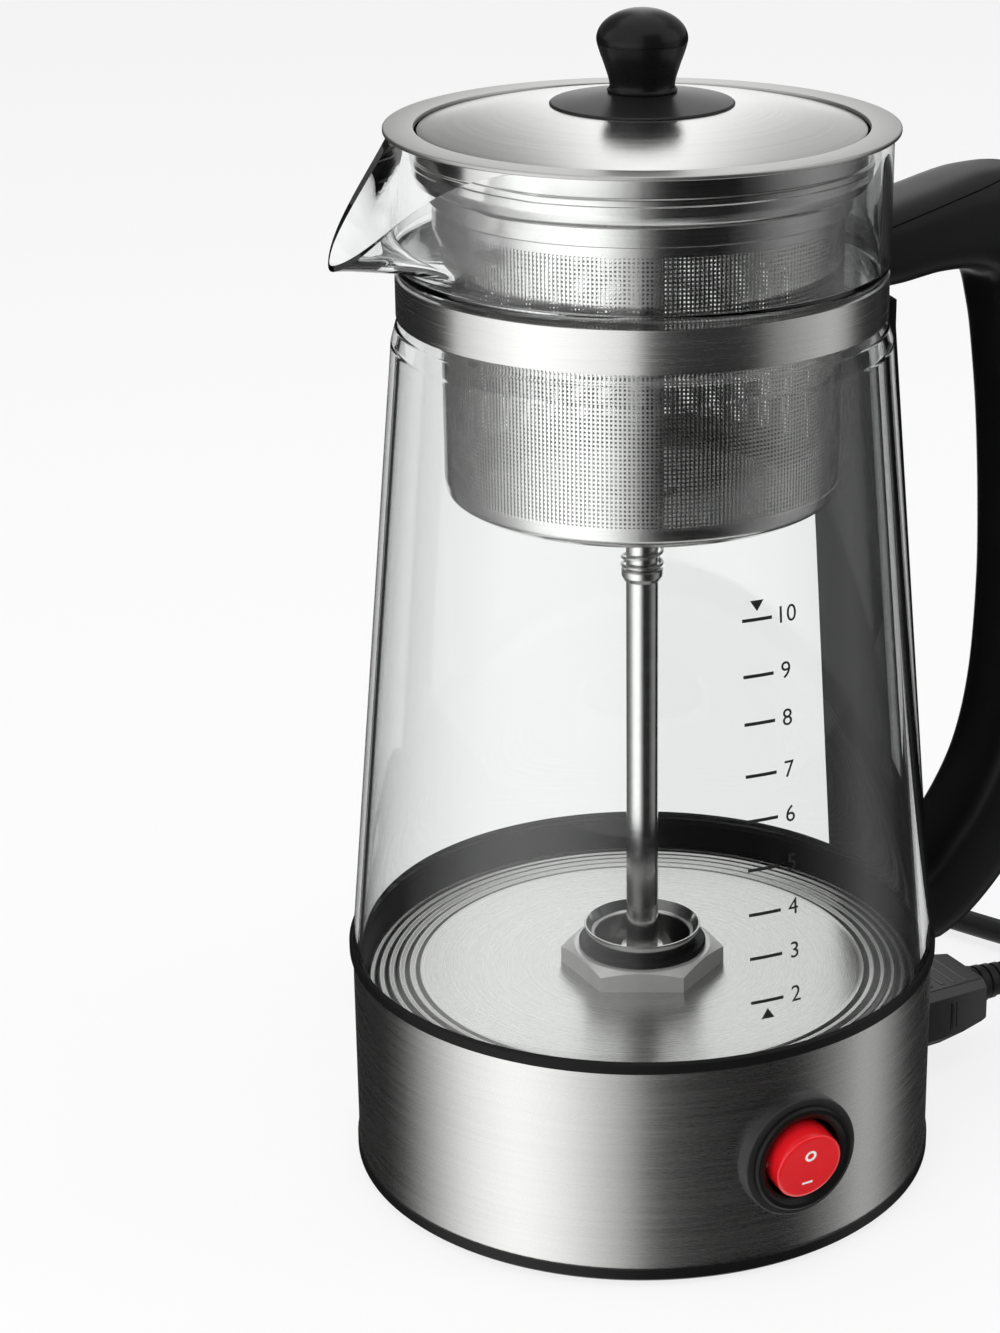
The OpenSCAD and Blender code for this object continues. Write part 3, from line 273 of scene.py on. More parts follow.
class Finish(Nodes):
    """One material: a shader and the nodes that vary it."""

    def __init__(self, name, settings, shader="ShaderNodeBsdfPrincipled"):
        self.material = bpy.data.materials.new(name)
        super().__init__(self.material)
        made = self.node(shader, None, settings)
        self.shader = made.socket.node
        self.node("ShaderNodeOutputMaterial", None, {0: made})

    def set(self, socket, value):
        self.feed(self.shader.inputs[socket], value)

    def noise(self, x, y, z, detail, rough):
        spot = self.node("ShaderNodeCombineXYZ", None, {0: x, 1: y, 2: z})
        return self.node("ShaderNodeTexNoise", None,
                         {"Vector": spot, "Scale": 1.0, "Detail": detail, "Roughness": rough})

    def tint(self, factor, low, high):
        return self.node("ShaderNodeMix", {"data_type": "RGBA"},
                         {0: factor, 6: (*low, 1), 7: (*high, 1)}, out=2)

    def bump(self, height, strength, distance):
        shape = self.node("ShaderNodeBump", None,
                          {"Height": height, "Strength": strength, "Distance": distance})
        self.set("Normal", shape)


FINISHES = {}


def shade(colour, share):
    """Colour made darker or lighter, up to full white."""
    return tuple(min(1.0, c * share) for c in colour)


def brushed_steel(name, colour, rough, along, bump=0.05, coarse=0.35, breaks=45):
    """Steel with fine streaks round the axis, stacked up the height or lying on a flat face."""
    made = Finish(name, {"Metallic": 1.0})
    x, y, z = made.place()
    across = z if along == "height" else (x * x + y * y) ** 0.5
    fine = made.noise(x * breaks, y * breaks, across * STREAK_FINE, 4.0, 0.7)
    broad = made.noise(x * breaks * BROAD_BREAKS, y * breaks * BROAD_BREAKS, across * STREAK_BROAD,
                       2.0, 0.5)
    streak = fine * (1 - coarse) + broad * coarse
    spread = 0.22
    made.set("Base Color", made.tint(streak, shade(colour, 0.82), shade(colour, 1.12)))
    made.set("Roughness", streak * spread + (rough - spread / 2))
    made.bump(streak, bump, BRUSH_DEPTH)
    return made.material


def plain_steel(name, colour, rough, metal=1.0):
    """Drawn or plated metal with faint mottling."""
    made = Finish(name, {"Metallic": metal})
    x, y, z = made.place()
    patch = made.noise(x * MOTTLE, y * MOTTLE, z * MOTTLE, 3.0, 0.6)
    spread = 0.12
    made.set("Base Color", made.tint(patch, shade(colour, 0.88), shade(colour, 1.06)))
    made.set("Roughness", patch * spread + (rough - spread / 2))
    return made.material


def moulded(name, colour, rough, grain=0.08, coat=0.0, gloss=0.3):
    """Moulded plastic or rubber with a fine spark-eroded grain."""
    made = Finish(name, {"Coat Weight": coat, "Coat Roughness": 0.08, "Specular IOR Level": gloss})
    x, y, z = made.place()
    skin = made.noise(x * SKIN_GRAIN, y * SKIN_GRAIN, z * SKIN_GRAIN, 2.0, 0.5)
    patch = made.noise(x * SKIN_PATCH, y * SKIN_PATCH, z * SKIN_PATCH, 3.0, 0.6)
    worn, grainy = 0.08, 0.06
    made.set("Base Color", made.tint(patch, shade(colour, 0.85), shade(colour, 1.2)))
    made.set("Roughness", patch * worn + skin * grainy + (rough - (worn + grainy) / 2))
    made.bump(skin, grain, GRAIN_DEPTH)
    return made.material


def clear_glass(name, colour):
    """Clear pressed glass with a hardly visible ripple in its tint."""
    made = Finish(name, {"Transmission Weight": 1.0, "Roughness": 0.0, "IOR": 1.47})
    x, y, z = made.place()
    patch = made.noise(x * GLASS_RIPPLE, y * GLASS_RIPPLE, z * GLASS_RIPPLE_UP, 2.0, 0.5)
    made.set("Base Color", made.tint(patch, shade(colour, 0.99), colour))
    return made.material


def make_finishes():
    """Fills the list of finishes from the colours of the look."""
    tints = look()
    steel = tuple(tints.steel)
    black = tuple(tints.plastic)
    FINISHES.update({
        "shell": brushed_steel("brushed_shell", steel, 0.27, "height", 0.09),
        "band": brushed_steel("brushed_band", steel, 0.25, "height", 0.09),
        "satin": brushed_steel("satin_sheet", shade(steel, 1.06), 0.16, "height", 0.02),
        # Flange: the same steel darkened to 0.72, painted shade on its top face; its higher
        # roughness is a duller finish
        "flange": brushed_steel("flange_sheet", shade(steel, 0.72), 0.36, "circle", 0.05),
        "lid": brushed_steel("lid_sheet", shade(steel, 1.1), 0.19, "circle", 0.12, 0.35, 12),
        "plate": brushed_steel("turned_plate", shade(steel, 1.04), 0.27, "circle", 0.1, 0.4, 8),
        "bright": plain_steel("bright_steel", shade(steel, 1.05), 0.16),
        # Nut: the steel is lightened far past the other steel parts and made part matt, painted
        # light for the bright light on its faces
        "nut": plain_steel("nut_steel", shade(steel, 1.35), 0.32, 0.45),
        "wire": plain_steel("mesh_wire", shade(steel, 1.12), 0.15),
        "zinc": plain_steel("zinc_plate", (0.58, 0.59, 0.6), 0.34),
        "cast": plain_steel("cast_aluminium", (0.6, 0.61, 0.62), 0.45),
        "sheath": plain_steel("element_sheath", (0.33, 0.32, 0.3), 0.5),
        "brass": plain_steel("contact_brass", (0.78, 0.6, 0.27), 0.3),
        "handle": moulded("satin_black", black, 0.34, 0.05, 0.0, 0.2),
        "knob": moulded("knob_black", black, 0.26, 0.03, 0.0, 0.2),
        "disc": moulded("disc_black", shade(black, 1.5), 0.32, 0.03, 0.0, 0.26),
        "switch": moulded("switch_black", black, 0.36, 0.05, 0.0, 0.2),
        "collar": moulded("collar_grey", (0.022, 0.022, 0.023), 0.36, 0.06, 0.0, 0.3),
        "rubber": moulded("black_rubber", (0.006, 0.006, 0.006), 0.42, 0.08, 0.0, 0.14),
        "cord": moulded("cord_black", (0.009, 0.009, 0.009), 0.46, 0.12, 0.0, 0.25),
        "connector": moulded("connector_black", (0.009, 0.009, 0.009), 0.24, 0.05, 0.0, 0.6),
        "rocker": moulded("rocker_red", tuple(tints.rocker), 0.2, 0.01, 0.6),
        "white": moulded("printed_white", (0.85, 0.85, 0.84), 0.45, 0.0),
        "ink": moulded("printed_ink", tuple(tints.ink), 0.5, 0.0),
        "phenolic": moulded("pale_phenolic", (0.66, 0.6, 0.48), 0.5, 0.1),
        "brown": moulded("brown_sleeve", (0.16, 0.07, 0.03), 0.5, 0.1),
        "red": moulded("red_sleeve", (0.3, 0.03, 0.02), 0.5, 0.1),
        "blue": moulded("blue_sleeve", (0.03, 0.1, 0.32), 0.5, 0.1),
        "green": moulded("green_sleeve", (0.2, 0.32, 0.04), 0.5, 0.1),
        "glass": clear_glass("clear_glass", tuple(tints.glass)),
    })


# Finish of each node that keeps its own solid
NODE_FINISHES = {
    "bottom_cover": "switch", "foot_ring": "rubber", "cover_screws": "zinc", "tie_pillars": "zinc",
    "base_shell": "shell", "heat_spreader": "cast", "heating_element": "sheath",
    "element_terminals": "zinc", "thermostat": "phenolic", "thermostat_screws": "zinc",
    "thermal_fuse": "brass", "well_nut": "nut", "well_locknut": "zinc", "collar_band": "band",
    "band_screw": "zinc", "band_nut": "zinc", "handle_spine": "handle", "foot_screws": "zinc",
    "switch_terminals": "brass", "rocker_pin": "zinc", "inlet_socket": "switch",
    "inlet_pins": "brass", "live_wire": "brown", "load_wire": "rubber", "fuse_wire": "red",
    "neutral_wire": "blue", "earth_wire": "green", "guide_tube": "satin",
    "spreader_plate": "satin", "knob_screw": "zinc", "stem_bell": "bright", "coil_tie": "collar",
    "plug_pins": "zinc",
}


def object_of(name, bm, material):
    """Object of a bmesh in one material."""
    mesh = bpy.data.meshes.new(name)
    bm.to_mesh(mesh)
    bm.free()
    mesh.materials.append(material)
    made = bpy.data.objects.new(name, mesh)
    bpy.context.scene.collection.objects.link(made)
    return made


def finished(name, bm, finish, body, nodes=(), sharp=38):
    """Smooth object that rides on a body, takes a slot and stands for CAD nodes."""
    made = object_of(name, bm, FINISHES[finish])
    made.data.shade_smooth()
    made.data.set_sharp_from_angle(angle=math.radians(sharp))
    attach(made, body)
    if nodes:
        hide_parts(*nodes)
    return made


def rounded(outline, closed, arc_steps=5):
    """Outline whose corners (r, z, radius) are turned into arcs."""
    points = []
    n = len(outline)
    for k, corner in enumerate(outline):
        here = Vector(corner[:2])
        radius = corner[2] if len(corner) > 2 else 0
        if radius == 0 or (not closed and k in (0, n - 1)):
            points.append(here)
            continue
        back = Vector(outline[k - 1][:2]) - here
        ahead = Vector(outline[(k + 1) % n][:2]) - here
        half = back.angle(ahead) / 2
        reach = min(radius / max(math.tan(half), 0.01), 0.48 * back.length, 0.48 * ahead.length)
        a = here + back.normalized() * reach
        b = here + ahead.normalized() * reach
        for i in range(arc_steps + 1):
            t = i / arc_steps
            points.append(a * (1 - t) ** 2 + here * (2 * t * (1 - t)) + b * t * t)
    return points


def spun(points, steps, closed):
    """Skin spun round Z from points (r, z) in millimetres."""
    bm = bmesh.new()
    verts = [bm.verts.new((r * MM, 0, z * MM)) for r, z in points]
    ahead = verts[1:] + (verts[:1] if closed else [])
    edges = [bm.edges.new(pair) for pair in zip(verts, ahead)]
    bmesh.ops.spin(bm, geom=verts + edges, axis=(0, 0, 1), cent=(0, 0, 0), angle=2 * math.pi,
                   steps=steps, use_merge=True, use_duplicate=False)
    bmesh.ops.remove_doubles(bm, verts=bm.verts, dist=1e-7)
    return bm


def turned(outline, steps, closed=True):
    """Body spun round Z from an outline in millimetres. An open one starts and ends on the axis."""
    bm = spun(rounded(outline, closed), steps, closed)
    bmesh.ops.recalc_face_normals(bm, faces=bm.faces)
    return bm


def lie_along(bm, axis, place):
    """Turns a body spun round Z so that its Z points along an axis, and moves it into place."""
    turn = Vector((0, 0, 1)).rotation_difference(Vector(axis)).to_matrix()
    bmesh.ops.rotate(bm, verts=bm.verts, cent=(0, 0, 0), matrix=turn)
    bmesh.ops.translate(bm, verts=bm.verts, vec=Vector(place) * MM)


def draw_out(bm, row, edges, rows):
    """Extrudes a row of vertices through rows of places, and gives the last row and edges."""
    loop = len(edges) == len(row)
    for places in rows:
        made = bmesh.ops.extrude_edge_only(bm, edges=edges)["geom"]
        fresh = {v for v in made if isinstance(v, bmesh.types.BMVert)}
        row = [next(e.other_vert(v) for e in v.link_edges if e.other_vert(v) in fresh) for v in row]
        for vert, place in zip(row, places):
            vert.co = place
        edges = [bm.edges.get(pair) for pair in zip(row, row[1:] + (row[:1] if loop else []))]
    return row, edges


def loft(rings):
    """Closed body drawn through rings of points in metres."""
    bm = bmesh.new()
    row = [bm.verts.new(p) for p in rings[0]]
    first = [bm.edges.new(pair) for pair in zip(row, row[1:] + row[:1])]
    _, last = draw_out(bm, row, first, rings[1:])
    for rim in (first, last):
        bmesh.ops.contextual_create(bm, geom=rim)
    bmesh.ops.recalc_face_normals(bm, faces=bm.faces)
    return bm


def box(bm, low, high):
    """Adds a block between two corners in millimetres."""
    low, high = Vector(low) * MM, Vector(high) * MM
    made = bmesh.ops.create_cube(bm, size=1)["verts"]
    bmesh.ops.scale(bm, verts=made, vec=high - low)
    bmesh.ops.translate(bm, verts=made, vec=(low + high) / 2)


def bevel(made, width, segments, angle):
    """Rounds the edges of a piece that are sharper than an angle."""
    tool = made.modifiers.new("edges", "BEVEL")
    tool.width = width * MM
    tool.segments = segments
    tool.limit_method = "ANGLE"
    tool.angle_limit = math.radians(angle)
    tool.harden_normals = True


def between(a, b, c, d, t):
    """Point at a share t from b to c of a smooth curve through four points."""
    line = 2 * b + (c - a) * t
    bend = (2 * a - 5 * b + 4 * c - d) * t * t
    twist = (3 * b - a - 3 * c + d) * t ** 3
    return 0.5 * (line + bend + twist)


def smoothed(points, steps):
    """Points with a smooth curve of further points between them."""
    points = [Vector(p) for p in points]
    n = len(points)
    out = []
    for i in range(n - 1):
        a, b, c, d = points[max(i - 1, 0)], points[i], points[i + 1], points[min(i + 2, n - 1)]
        out += [between(a, b, c, d, k / steps) for k in range(steps)]
    return out + [points[-1]]


def ease(t):
    """Share from 0 to 1 that starts and stops softly."""
    t = min(max(t, 0), 1)
    return t * t * (3 - 2 * t)


def squared(share, square):
    """Sine or cosine of a ring, pushed out so that the ring comes nearer to a square."""
    return math.copysign(abs(share) ** (2 / square), share)


def taper_r(z):
    """Outer radius of the jug's tapered side at a height."""
    foot = SHELL_R - 0.05
    return foot + (WAIST_R - foot) * (z - Z_GLASS) / (Z_WAIST - Z_GLASS)


class PERCOLATOR_OT_cord(bpy.types.Operator):
    """Lead from the strain relief to the plug, with its coil"""

    bl_idname = "percolator.cord"
    bl_label = "Lead"

    BETWEEN = 3
    ROUNDNESS = 5

    def coil(self):
        """Places along the two layers of the coil, winding in and then out again."""
        steps = round(COIL_TURNS * COIL_STEPS_A_TURN)
        half = COIL_TURNS / 2
        for i in range(steps + 1):
            t = COIL_TURNS * i / steps
            a = math.radians(COIL_START + 360 * t)
            r = COIL_R - COIL_PITCH * (half - abs(t - half))
            z = COIL_LIFT + COIL_PITCH * ease((t - half) * 2 + 0.5)
            yield Vector((COIL_MID[0] + r * math.cos(a), COIL_MID[1] + r * math.sin(a), z))

    def execute(self, context):
        route = smoothed(LEAD + list(self.coil()) + TAIL, self.BETWEEN)
        curve = bpy.data.curves.new("mains_lead", "CURVE")
        curve.dimensions = "3D"
        curve.bevel_depth = look().cord / 2
        curve.bevel_resolution = self.ROUNDNESS
        curve.use_fill_caps = True
        line = curve.splines.new("POLY")
        line.points.add(len(route) - 1)
        for point, place in zip(line.points, route):
            point.co = (*(place * MM), 1)
        line.use_smooth = True
        lead = bpy.data.objects.new("mains_lead", curve)
        context.scene.collection.objects.link(lead)
        curve.materials.append(FINISHES["cord"])
        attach(lead, "cordset")
        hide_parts("cord_lead", "cord_coil", "cord_tail")
        length = sum((b - a).length for a, b in zip(route, route[1:])) * MM
        return {"FINISHED"}


class PERCOLATOR_OT_stage(bpy.types.Operator):
    """Camera, floor, soft boxes and a paper tent"""

    bl_idname = "percolator.stage"
    bl_label = "Studio"

    CAMERA_AT = (-0.33585, -0.58171, 0.3799)
    CAMERA_DIP = 20.9
    CAMERA_TURN = -30
    FRAME_SHIFT = -0.1067
    SENSOR = 36
    NEAR = 0.01
    FLOOR_R = 6
    FLOOR_SIDES = 64
    FLOOR_Z = -0.0002
    FLOOR_GREY = 0.9
    FLOOR_GLOW = 0.8
    # Name, setting of its power, place, target, width and height in metres
    LAMPS = [
        ("key_box", "key", (-1.25, -0.55, 0.75), (0, 0, 0.13), 0.9, 1.3),
        ("top_box", "top", (0.0, 0.1, 1.5), (0, 0, 0.15), 1.2, 1.2),
        ("fill_box", "fill", (1.2, -0.9, 0.7), (0, 0, 0.13), 0.5, 1.1),
    ]
    # Angle of the tent's own front in degrees: the camera's turn is added to it
    CAMERA_SIDE = -90.0
    # Brightness by the angle from the camera's side in degrees, as the steel of the base and the
    # glass mirror it, at the back, and as it is seen through the glass
    STEEL_SECTORS = [
        (-180, 0.01), (-106, 0.01), (-103, 0.06), (-90, 0.28), (-69, 0.76), (-50, 1.0),
        (-34, 0.86), (-17, 0.53), (-2, 0.27), (1, 0.06), (22, 0.015), (62, 0.01), (80, 0.15),
        (96, 0.42), (112, 0.15), (124, 0.01), (180, 0.01),
    ]
    GLASS_SECTORS = [
        (-180, 0.01), (-96, 0.01), (-94, 0.5), (-52, 1.0), (-2, 0.75), (0, 0.02), (52, 0.02),
        (60, 0.2), (96, 0.4), (108, 0.2), (112, 0.01), (180, 0.01),
    ]
    BACK_SECTORS = [
        (-180, 1.0), (-176, 0.85), (-170, 0.35), (-165, 0.18), (-150, 0.1), (-110, 0.1),
        (110, 0.2), (150, 0.25), (165, 0.33), (170, 0.45), (176, 0.85), (180, 1.0),
    ]
    INSIDE_SECTORS = [
        (-180, 0.01), (-120, 0.03), (-107, 0.07), (-92, 0.18), (-78, 0.42), (-65, 0.78),
        (-50, 0.96), (-32, 1.0), (-21, 0.86), (-11, 0.53), (-1, 0.2), (9, 0.025), (19, 0.006),
        (45, 0.006), (58, 0.05), (70, 0.11), (89, 0.18), (104, 0.14), (122, 0.045), (150, 0.01),
        (180, 0.01),
    ]
    # Name, first and last angle, lowest and highest point in metres, brightness, its sectors,
    # and whether it is mirrored or seen through the glass
    TENT = [
        ("tent_foot", -170, 170, -1.2, -0.12, 1.5, STEEL_SECTORS, "mirrored"),
        ("tent_side", -170, 170, -0.12, 0.3, 1.7, GLASS_SECTORS, "mirrored"),
        ("tent_inside", -152, 140, -1.2, 0.12, 1.8, INSIDE_SECTORS, "seen"),
        ("tent_inside_top", -125, 125, 0.12, 1.4, 0.3, INSIDE_SECTORS, "seen"),
        ("tent_front_right", 1, 54, 0.3, 1.3, 0.02, None, "both"),
        ("tent_back", 110, 250, 0.3, 1.4, 1.4, BACK_SECTORS, "both"),
    ]
    TENT_STEPS = 48
    TENT_R = 1.0

    def camera(self, context):
        """Camera at the photo's place."""
        lens = bpy.data.cameras.new("photo_camera")
        lens.lens = studio().lens
        lens.sensor_width = self.SENSOR
        lens.shift_x = self.FRAME_SHIFT
        lens.clip_start = self.NEAR
        made = bpy.data.objects.new("photo_camera", lens)
        made.location = self.CAMERA_AT
        tilt, turn = math.radians(90 - self.CAMERA_DIP), math.radians(self.CAMERA_TURN)
        made.rotation_euler = (tilt, 0, turn)
        context.scene.collection.objects.link(made)
        context.scene.camera = made

    def rays_that_see_white(self, nodes):
        """Share of a ray that comes from the camera, from gloss or through glass."""
        total = nodes.node("ShaderNodeLightPath", out="Is Camera Ray")
        path = total.socket.node
        for name in ("Is Glossy Ray", "Is Transmission Ray"):
            total = nodes.node("ShaderNodeMath", {"operation": "ADD", "use_clamp": True},
                               {0: total, 1: Amount(nodes, path.outputs[name])})
        return total

    def world(self, context):
        """Soft light from all round, which camera, metal and glass see as white."""
        world = bpy.data.worlds.new("studio_world")
        context.scene.world = world
        nodes = Nodes(world)
        white = (1, 1, 1, 1)
        lit = nodes.node("ShaderNodeBackground", None,
                         {"Color": white, "Strength": studio().ambient})
        seen = nodes.node("ShaderNodeBackground", None, {"Color": white, "Strength": 1.0})
        share = self.rays_that_see_white(nodes)
        mix = nodes.node("ShaderNodeMixShader", None, {0: share, 1: lit, 2: seen})
        nodes.node("ShaderNodeOutputWorld", None, {0: mix})

    def stage_piece(self, name, bm, material):
        """Object of a bmesh that belongs to the studio."""
        made = object_of(name, bm, material)
        return made

    def floor(self):
        """Pale floor that keeps the object's shadow."""
        bm = bmesh.new()
        bmesh.ops.create_circle(bm, cap_ends=True, segments=self.FLOOR_SIDES, radius=self.FLOOR_R)
        bmesh.ops.translate(bm, verts=bm.verts, vec=(0, 0, self.FLOOR_Z))
        material = bpy.data.materials.new("pale_floor")
        nodes = Nodes(material)
        matt = nodes.node("ShaderNodeBsdfDiffuse", None, {"Color": (*[self.FLOOR_GREY] * 3, 1)})
        glow = nodes.node("ShaderNodeEmission", None, {"Strength": 1.0})
        share = self.rays_that_see_white(nodes) * self.FLOOR_GLOW
        mix = nodes.node("ShaderNodeMixShader", None, {0: share, 1: matt, 2: glow})
        nodes.node("ShaderNodeOutputMaterial", None, {0: mix})
        made = self.stage_piece("floor", bm, material)
        made.visible_glossy = False
        made.visible_transmission = False

    def lamp(self, context, name, power, place, target, width, height):
        """Soft box that isn't mirrored itself."""
        data = bpy.data.lights.new(name, "AREA")
        data.shape = "RECTANGLE"
        data.size = width
        data.size_y = height
        data.energy = power
        made = bpy.data.objects.new(name, data)
        made.location = place
        made.rotation_euler = (Vector(target) - Vector(place)).to_track_quat("-Z", "Y").to_euler()
        made.visible_glossy = False
        made.visible_transmission = False
        context.scene.collection.objects.link(made)

    def tent_paper(self, name, bright, sectors):
        """Paper of the light tent, plain or with bright and dark sectors round the object."""
        paper = Finish(name, {"Strength": bright * studio().tent}, "ShaderNodeEmission")
        if sectors:
            x, y, _ = paper.place()
            angle = paper.node("ShaderNodeMath", {"operation": "ARCTAN2"}, {0: y, 1: x})
            turn = angle * (1 / (2 * math.pi)) + (0.5 - self.CAMERA_SIDE / 360)
            share = paper.node("ShaderNodeMath", {"operation": "WRAP"}, {0: turn, 1: 1.0, 2: 0.0})
            stops = [(0.5 + side / 360, (level, level, level)) for side, level in sectors]
            paper.set("Color", paper.node("ShaderNodeValToRGB", {"stops": stops}, {0: share}))
        return paper.material

    def tent(self, context):
        """Paper walls round the object, seen in metal and glass only. They turn with the camera."""
        for name, first, last, low, high, bright, sectors, rays in self.TENT:
            bm = bmesh.new()
            verts = [bm.verts.new((self.TENT_R, 0, z)) for z in (low, high)]
            edges = [bm.edges.new(verts)]
            turn = Matrix.Rotation(math.radians(self.CAMERA_SIDE + first), 3, "Z")
            bmesh.ops.rotate(bm, verts=verts, cent=(0, 0, 0), matrix=turn)
            bmesh.ops.spin(bm, geom=verts + edges, axis=(0, 0, 1), cent=(0, 0, 0),
                           angle=math.radians(last - first), steps=self.TENT_STEPS)
            made = self.stage_piece(name, bm, self.tent_paper(name, bright, sectors))
            made.visible_camera = False
            made.visible_shadow = False
            made.visible_diffuse = False
            made.visible_glossy = rays != "seen"
            made.visible_transmission = rays != "mirrored"
            follow = made.constraints.new("COPY_ROTATION")
            follow.target = context.scene.camera
            follow.use_x = follow.use_y = False

    def execute(self, context):
        context.scene.view_settings.view_transform = "Standard"
        self.camera(context)
        self.world(context)
        self.floor()
        for name, power, *place_and_size in self.LAMPS:
            self.lamp(context, name, getattr(studio(), power), *place_and_size)
        self.tent(context)
        return {"FINISHED"}


class PERCOLATOR_OT_solids(bpy.types.Operator):
    """Finishes of the nodes that keep their own solids"""

    bl_idname = "percolator.solids"
    bl_label = "Kept solids"

    def execute(self, context):
        for node, finish in NODE_FINISHES.items():
            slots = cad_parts[node].data.materials
            slots.clear()
            slots.append(FINISHES[finish])
        return {"FINISHED"}


class PERCOLATOR_OT_jug(bpy.types.Operator):
    """Glass jug with its pulled spout"""

    bl_idname = "percolator.jug"
    bl_label = "Glass jug"

    COLUMNS = 192
    TAPER_ROWS = 14
    NECK_ROWS = 18
    # Columns to each side that the spout takes, and the height where it leaves the neck
    WINDOW = 28
    SPOUT_FOOT = 221.4
    # Spout's rim: its tip, its way there, the angle where it meets the neck's rim and its way there
    RIM_TIP = Vector((-76.0, 0, 226.1))
    RIM_WAY = Vector((4.5, 14.6, 4.25))
    RIM_END = math.radians(33.5)
    RIM_PULL = 26.6
    RIM_DIP = 3.2
    # Line where the spout leaves the neck: its depth and how square it is
    ROOT_DEPTH = 26.0
    ROOT_SQUARE = 3.0
    # Share of the way round that the window's bottom takes, rows on the neck and on the spout,
    # and how often lip and spout are smoothed
    CORNER = 0.6
    ROOT_ROWS = 6
    SPOUT_ROWS = 14
    LIP_EASES = 6
    SPOUT_EASES = 14
    LINE_STEPS = 80
    # Wall at the lip, and how far from it the wall is full
    LIP_WALL = 1.3
    LIP_REACH = 7.0
    EDGE = 0.6

    def side(self):
        """Outside of the jug from foot to rim, without its wall."""
        groove_r, bend_foot = 54.0, 196
        rise = Z_WAIST - 2 - Z_GLASS
        heights = [Z_GLASS + rise * k / self.TAPER_ROWS for k in range(self.TAPER_ROWS + 1)]
        rows = [(taper_r(z), z) for z in heights if z < bend_foot - 0.5]
        bend = rounded([
            (taper_r(bend_foot), bend_foot), (WAIST_R - 0.1, Z_WAIST + 1.6, 5), (NECK_R, 206.6, 2),
            (groove_r, 208.2, 1.2), (groove_r, 218.6, 1.2), (NECK_R, 220.4, 1.4), (NECK_R, 224),
        ], False)
        rows += [tuple(p) for p in bend[:-1] if p[1] < self.SPOUT_FOOT - 0.3]
        rise = Z_JUG_TOP - self.SPOUT_FOOT
        heights = [self.SPOUT_FOOT + rise * k / self.NECK_ROWS for k in range(self.NECK_ROWS + 1)]
        return rows + [(NECK_R, z) for z in heights]

    def even(self, points, share):
        """Place at a share of the way along a line of points."""
        steps = [(q - p).length for p, q in zip(points, points[1:])]
        left = share * sum(steps)
        for p, q, step in zip(points, points[1:], steps):
            if left <= step:
                return p.lerp(q, left / step)
            left -= step
        return points[-1].copy()

    def half_rim(self):
        """Half of the spout's rim on the +Y side, from the tip to the neck's rim."""
        end = Vector((-NECK_R * math.cos(self.RIM_END), NECK_R * math.sin(self.RIM_END), Z_JUG_TOP))
        along = Vector((math.sin(self.RIM_END), math.cos(self.RIM_END), 0))
        a, b = self.RIM_TIP, self.RIM_TIP + self.RIM_WAY
        c = end - along * self.RIM_PULL - Vector((0, 0, self.RIM_DIP))
        out = []
        for k in range(self.LINE_STEPS + 1):
            t = k / self.LINE_STEPS
            s = 1 - t
            out.append(a * s ** 3 + b * (3 * t * s ** 2) + c * (3 * t * t * s) + end * t ** 3)
        return out

    def half_root(self):
        """Half of the line where the spout leaves the neck, from keel to rim, laid flat."""
        out = []
        for k in range(self.LINE_STEPS + 1):
            q = math.pi / 2 * k / self.LINE_STEPS
            round_way = self.RIM_END * NECK_R * abs(math.sin(q)) ** (2 / self.ROOT_SQUARE)
            depth = self.ROOT_DEPTH * max(math.cos(q), 0) ** (2 / self.ROOT_SQUARE)
            out.append(Vector((round_way, Z_JUG_TOP - depth, 0)))
        return out

    def cut_window(self, bm):
        """Opens the neck for the spout, and gives the vertices round the window."""
        limit = math.radians(self.WINDOW * 360 / self.COLUMNS)
        gone = []
        for face in bm.faces:
            mid = face.calc_center_median()
            off = math.atan2(mid.y, -mid.x)
            if abs(off) < limit and mid.z > self.SPOUT_FOOT * MM:
                gone.append(face)
        bmesh.ops.delete(bm, geom=gone, context="FACES")
        foot = (self.SPOUT_FOOT - 0.1) * MM
        frame_edges = [e for e in bm.edges if e.is_boundary and all(
            v.co.z > foot and abs(math.atan2(v.co.y, -v.co.x)) < limit + 1e-4 for v in e.verts)]
        return self.in_order(frame_edges)

    def spout_lip(self, shares):
        """Places of the spout's rim, for shares of the way round."""
        rim = self.half_rim()
        lip = [self.mirrored(self.even(rim, abs(u)), u) for u in shares]
        for _ in range(self.LIP_EASES):
            eased = [(p + 2 * q + r) / 4 for p, q, r in zip(lip, lip[1:], lip[2:])]
            lip = lip[:1] + eased + lip[-1:]
        return lip

    def spout_rows(self, row, shares, lip):
        """Rows of places from the window along the neck to the spout's root, and on to its rim."""
        root = self.half_root()
        foots = [self.even(root, abs(u)) for u in shares]
        rows = []
        for step in range(1, self.ROOT_ROWS + 1):
            share = step / self.ROOT_ROWS
            rows.append([self.on_neck(v.co / MM, f, u, share) * MM
                         for v, f, u in zip(row, foots, shares)])
        start = [p / MM for p in rows[-1]]
        for step in range(1, self.SPOUT_ROWS + 1):
            rows.append([p.lerp(q, step / self.SPOUT_ROWS) * MM for p, q in zip(start, lip)])
        return rows

    def draw_spout(self, bm, row, rows):
        """Draws the spout out of its window and smooths it below the rim."""
        edges = [bm.edges.get(pair) for pair in zip(row, row[1:])]
        before = set(bm.verts)
        last, _ = draw_out(bm, row, edges, rows)
        loose = [v for v in bm.verts if v not in before and v not in last] + row
        inner = [v for v in loose if v.co.z < (Z_JUG_TOP - 0.3) * MM]
        for _ in range(self.SPOUT_EASES):
            bmesh.ops.smooth_vert(bm, verts=inner, factor=0.5, use_axis_x=True, use_axis_y=True,
                                  use_axis_z=True)
        bmesh.ops.remove_doubles(bm, verts=bm.verts, dist=1e-6)

